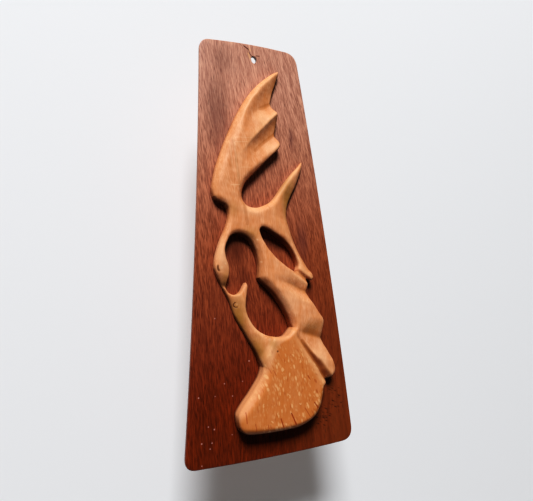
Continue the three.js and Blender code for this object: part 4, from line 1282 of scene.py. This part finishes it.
def nest_flecks(tree, place, face):
    """Small red dashes spread evenly over the nest's face, and larger pale ones that lie in clumps."""
    here = times(tree, face, soft_mask(tree, gather(tree, place, spots, FLECK_CROWD), *CROWD_FADE))
    clumps = use(tree, grain, {"Vector": place, "Width": 0.5, "Stretch": 0.8, "Wander": 0.0, "Fan": 0.0})
    share = calc(tree, "MULTIPLY_ADD", clumps.outputs["Bands"], *CLUMPING)
    shared = {"Vector": place, "Lean": FLECK_LEAN, "Wander": FLECK_WANDER}
    red = use(tree, dashes, {**shared, "Size": 0.8, "Ratio": 3.5, "Spacing": 1.5, "Share": 0.6})
    pale = use(tree, dashes, {**shared, "Size": 1.6, "Ratio": 2.0, "Spacing": 2.1, "Share": share})
    return times(tree, red.outputs["Mask"], here), times(tree, pale.outputs["Mask"], here)


# %% Light wood
RELIEF_FIBRES, RELIEF_CLOUDS = (0.3, 0.7), (0.35, 0.65)
WAXED = (0.16, 0.42)  # roughness: how much the fibres add, and its least value
SAWN_ROUGHNESS = 0.4
EYE_DEPTH, CRACK_DEPTH = 3.0, 1.5


def light_wood():
    """The relief's finish: its ground, painted shade and painted highlights, marks, cracks and engraved
    eyes.
    """
    material, tree, shader, place = new_finish("light_wood")
    stored = {name: add(tree, "ShaderNodeAttribute", {"attribute_name": name}).outputs["Fac"]
              for name in ("hollow", "proud", "nest_face", "edge", "painted_shade_edge")}
    fine = use(tree, grain, {"Vector": place, "Width": 0.6, "Stretch": 9.0, "Wander": 20.0, "Fan": 0.0})
    fibre = fine.outputs["Fibre"]
    face = times(tree, stored["nest_face"], calc(tree, "SUBTRACT", 1.0, stored["edge"]))
    red, pale = nest_flecks(tree, place, face)
    # painted highlights where faces and edges catch the light
    painted_highlights = calc(tree, "MAXIMUM", gather(tree, place, strokes, HIGHLIGHT_BANDS),
                  gather(tree, place, spots, HIGHLIGHT_SPOTS))
    cracks = gather(tree, place, strokes, NEST_CRACKS)
    eyes = gather(tree, place, arcs, EYES)
    ground = blend_colour(tree, soft_mask(tree, fibre, *RELIEF_FIBRES),
                          colour(211, 137, 90), colour(230, 165, 122))
    tone = laid_over(tree, ground, [
        (soft_mask(tree, fine.outputs["Bands"], *RELIEF_CLOUDS), 0.5, (206, 126, 72)),
        (stored["nest_face"], 0.7, (192, 110, 44)),
        # hollows: darker partly from oil, partly as painted shade
        (stored["hollow"], 0.5, (150, 92, 40)),
        (stored["proud"], 0.4, (238, 182, 134)),
        (painted_highlights, 1.0, (234, 178, 136)),
        # painted shade on spots and along valleys
        (gather(tree, place, spots, SHADE_SPOTS), 1.0, (166, 116, 56)),
        (gather(tree, place, strokes, SHADE_LINES), 1.0, (158, 90, 32)),
        (red, 0.5, (156, 68, 20)),
        (pale, 0.65, (238, 184, 130)),
        (gather(tree, place, strokes, SCRATCHES), 0.55, (240, 194, 150)),
        # painted highlights beside the eyes
        (gather(tree, place, spots, EYE_HIGHLIGHTS), 1.0, (240, 190, 145)),
        # painted shade where the beaks meet, and small dark spots
        (gather(tree, place, spots, DARK_SPOTS), 1.0, (76, 48, 18)),
        # painted shade on rims and walls that face away from the light
        (stored["painted_shade_edge"], 0.9, (66, 30, 10)),
        (cracks, 0.9, (150, 56, 8)),
        (eyes, 0.8, (84, 44, 12)),
    ])
    rough = calc(tree, "MULTIPLY_ADD", fibre, *WAXED)
    rough = calc(tree, "MULTIPLY_ADD", stored["edge"], SAWN_ROUGHNESS, rough)
    raised = calc(tree, "MULTIPLY_ADD", fibre, 0.3, pale)
    carved_in = calc(tree, "MAXIMUM", times(tree, eyes, EYE_DEPTH), times(tree, cracks, CRACK_DEPTH))
    raised = calc(tree, "SUBTRACT", times(tree, raised, 0.4), carved_in)
    cover(tree, shader, tone, rough, raised, bump=0.5, gloss=0.25)
    return material


# %% [markdown]
# ## Each piece meets its solid
# Both pieces rest on the same body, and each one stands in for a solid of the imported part.

# %% Finish and place both pieces
for piece, finish, node, slot in ((board, dark_wood(), "backboard", "dark_wood"),
                                  (relief, light_wood(), "carving", "light_wood")):
    piece.data.materials.append(finish)
    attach(piece, "root")
    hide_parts(node)
    print(f"{piece.name}: {len(finish.node_tree.nodes)} nodes in {finish.name}")

# %% [markdown]
# ## Stage
# A pale backdrop hangs 8 cm behind the panel and takes its soft shadow, and a pale floor lies below.
# The backdrop is see-through from behind, so that the panel's back can be looked at too.

# %% Backdrop and floor
BACKDROP_GAP = 0.08
BACKDROP_REACH = 4.0
FLOOR_Z = -2.2
FLOOR_REACH = 1.0
# Painted light: the backdrop's faint glow keeps the panel's shadow on it pale.
BACKDROP_PAINTED_GLOW = 0.13


def stage_plane(name, reach, ends, material):
    """A flat sheet in metres: as wide as reach to each side, from the first y and z to the second."""
    (near_y, near_z), (far_y, far_z) = ends
    corners = [(-reach, near_y, near_z), (reach, near_y, near_z),
               (reach, far_y, far_z), (-reach, far_y, far_z)]
    mesh = bpy.data.meshes.new(name)
    mesh.from_pydata(corners, [], [(0, 1, 2, 3)])
    mesh.materials.append(material)
    sheet = bpy.data.objects.new(name, mesh)
    bpy.context.scene.collection.objects.link(sheet)


def pale_finish(name, one_sided):
    """Matt and pale. The backdrop also glows a little, painted light that keeps the panel's shadow on it
    pale, and is clear from behind.
    """
    material, tree, shader, _ = new_finish(name)
    shader.inputs["Base Color"].default_value = colour(216, 219, 223)
    shader.inputs["Roughness"].default_value = 0.9
    if one_sided:
        shader.inputs["Emission Color"].default_value = colour(255, 246, 238)
        shader.inputs["Emission Strength"].default_value = BACKDROP_PAINTED_GLOW
        clear = add(tree, "ShaderNodeBsdfTransparent")
        side = add(tree, "ShaderNodeNewGeometry").outputs["Backfacing"]
        mix = add(tree, "ShaderNodeMixShader", None, {0: side, 1: shader.outputs[0], 2: clear.outputs[0]})
        plug(tree, find_node(tree, "OUTPUT_MATERIAL"), {"Surface": mix.outputs[0]})
    return material


backdrop_foot, backdrop_top = (BACKDROP_GAP, FLOOR_Z), (BACKDROP_GAP, BACKDROP_REACH)
stage_plane("backdrop", BACKDROP_REACH, (backdrop_foot, backdrop_top), pale_finish("pale_backdrop", True))
floor_front = (-FLOOR_REACH, FLOOR_Z)
stage_plane("floor", FLOOR_REACH, (floor_front, backdrop_foot), pale_finish("pale_floor", False))
print(f"backdrop {BACKDROP_GAP * 100:.0f} cm behind the panel")

# %% [markdown]
# ## Camera and light
# The panel is seen from below its middle and from the left, so its far side runs away to the right. A
# camera can be placed by its three axes, which is exact and needs no turning by trial.

# %% Camera
IMAGE_WIDTH = 533
FOCAL_PIXELS = 500
SENSOR_WIDTH = 36.0
CAMERA_PLACE = Vector((-0.1710, -0.3757, -0.2026))
CAMERA_RIGHT = Vector((0.9066, -0.4171, -0.0646))
CAMERA_UP = Vector((0.0117, -0.1281, 0.9917))


def aim(place, right, up):
    """A camera matrix: its columns are right, up and backwards, and then its place."""
    back = right.cross(up).normalized()
    up = back.cross(right).normalized()
    turn = Matrix((right.normalized(), up, back)).transposed().to_4x4()
    return Matrix.Translation(place) @ turn


lens = bpy.data.cameras.new("camera")
lens.sensor_width = SENSOR_WIDTH
lens.lens = FOCAL_PIXELS / IMAGE_WIDTH * lens.sensor_width
lens.clip_start = 0.01
camera = bpy.data.objects.new("camera", lens)
camera.matrix_world = aim(CAMERA_PLACE, CAMERA_RIGHT, CAMERA_UP)
bpy.context.scene.collection.objects.link(camera)
bpy.context.scene.camera = camera
print(f"camera lens {lens.lens:.1f} mm")

# %% [markdown]
# ## Light
# One broad light above the front makes the soft shadows below every edge, and a dim world fills them.
# The camera sees a paler world than the one that lights the panel, so the fill stays weak.

# %% Lights
def soft_light(name, place, target, size, power):
    """A square light panel at a place, facing a target."""
    data = bpy.data.lights.new(name, "AREA")
    data.size = size
    data.energy = power
    lamp = bpy.data.objects.new(name, data)
    away = Vector(place) - Vector(target)
    lamp.matrix_world = Matrix.Translation(place) @ away.to_track_quat("Z", "Y").to_matrix().to_4x4()
    bpy.context.scene.collection.objects.link(lamp)
    print(f"{name}: {away.length:.1f} m away, {size:.1f} m square, {power:.0f} W")


PANEL_MIDDLE = (0.0, 0.0, -0.15)
KEY_PLACE = (-0.86, -2.9, 3.05)
KEY_SIZE = 1.5
KEY_POWER = 270.0
FILL_COLOUR = (0.93, 0.95, 1.0, 1.0)
FILL_STRENGTH = 0.03
soft_light("key", KEY_PLACE, PANEL_MIDDLE, KEY_SIZE, KEY_POWER)

world = bpy.data.worlds.new("studio")
world.use_nodes = True
tree = world.node_tree
dim = find_node(tree, "BACKGROUND")
plug(tree, dim, {"Color": FILL_COLOUR, "Strength": FILL_STRENGTH})
pale = add(tree, "ShaderNodeBackground", None, {"Color": colour(228, 231, 235)})
seen = add(tree, "ShaderNodeLightPath").outputs["Is Camera Ray"]
sky = add(tree, "ShaderNodeMixShader", None, {0: seen, 1: dim.outputs[0], 2: pale.outputs[0]})
plug(tree, find_node(tree, "OUTPUT_WORLD"), {"Surface": sky.outputs[0]})
bpy.context.scene.world = world

# %% [markdown]
# ## Picture contrast
# A gentle S-curve, as a print has, keeps the shadows deep and the lights in colour. Blender's own curve
# mapping does this for the whole picture, so no material has to be changed for it.

# %% Contrast curve
PRINT_CURVE = ((0.05, 0.026), (0.2, 0.165), (0.6, 0.62))  # light in the scene, and as it is printed
shown = bpy.context.scene.view_settings
shown.view_transform = "Standard"
shown.use_curve_mapping = True
for light, printed in PRINT_CURVE:
    shown.curve_mapping.curves[3].points.new(light, printed)
shown.curve_mapping.update()
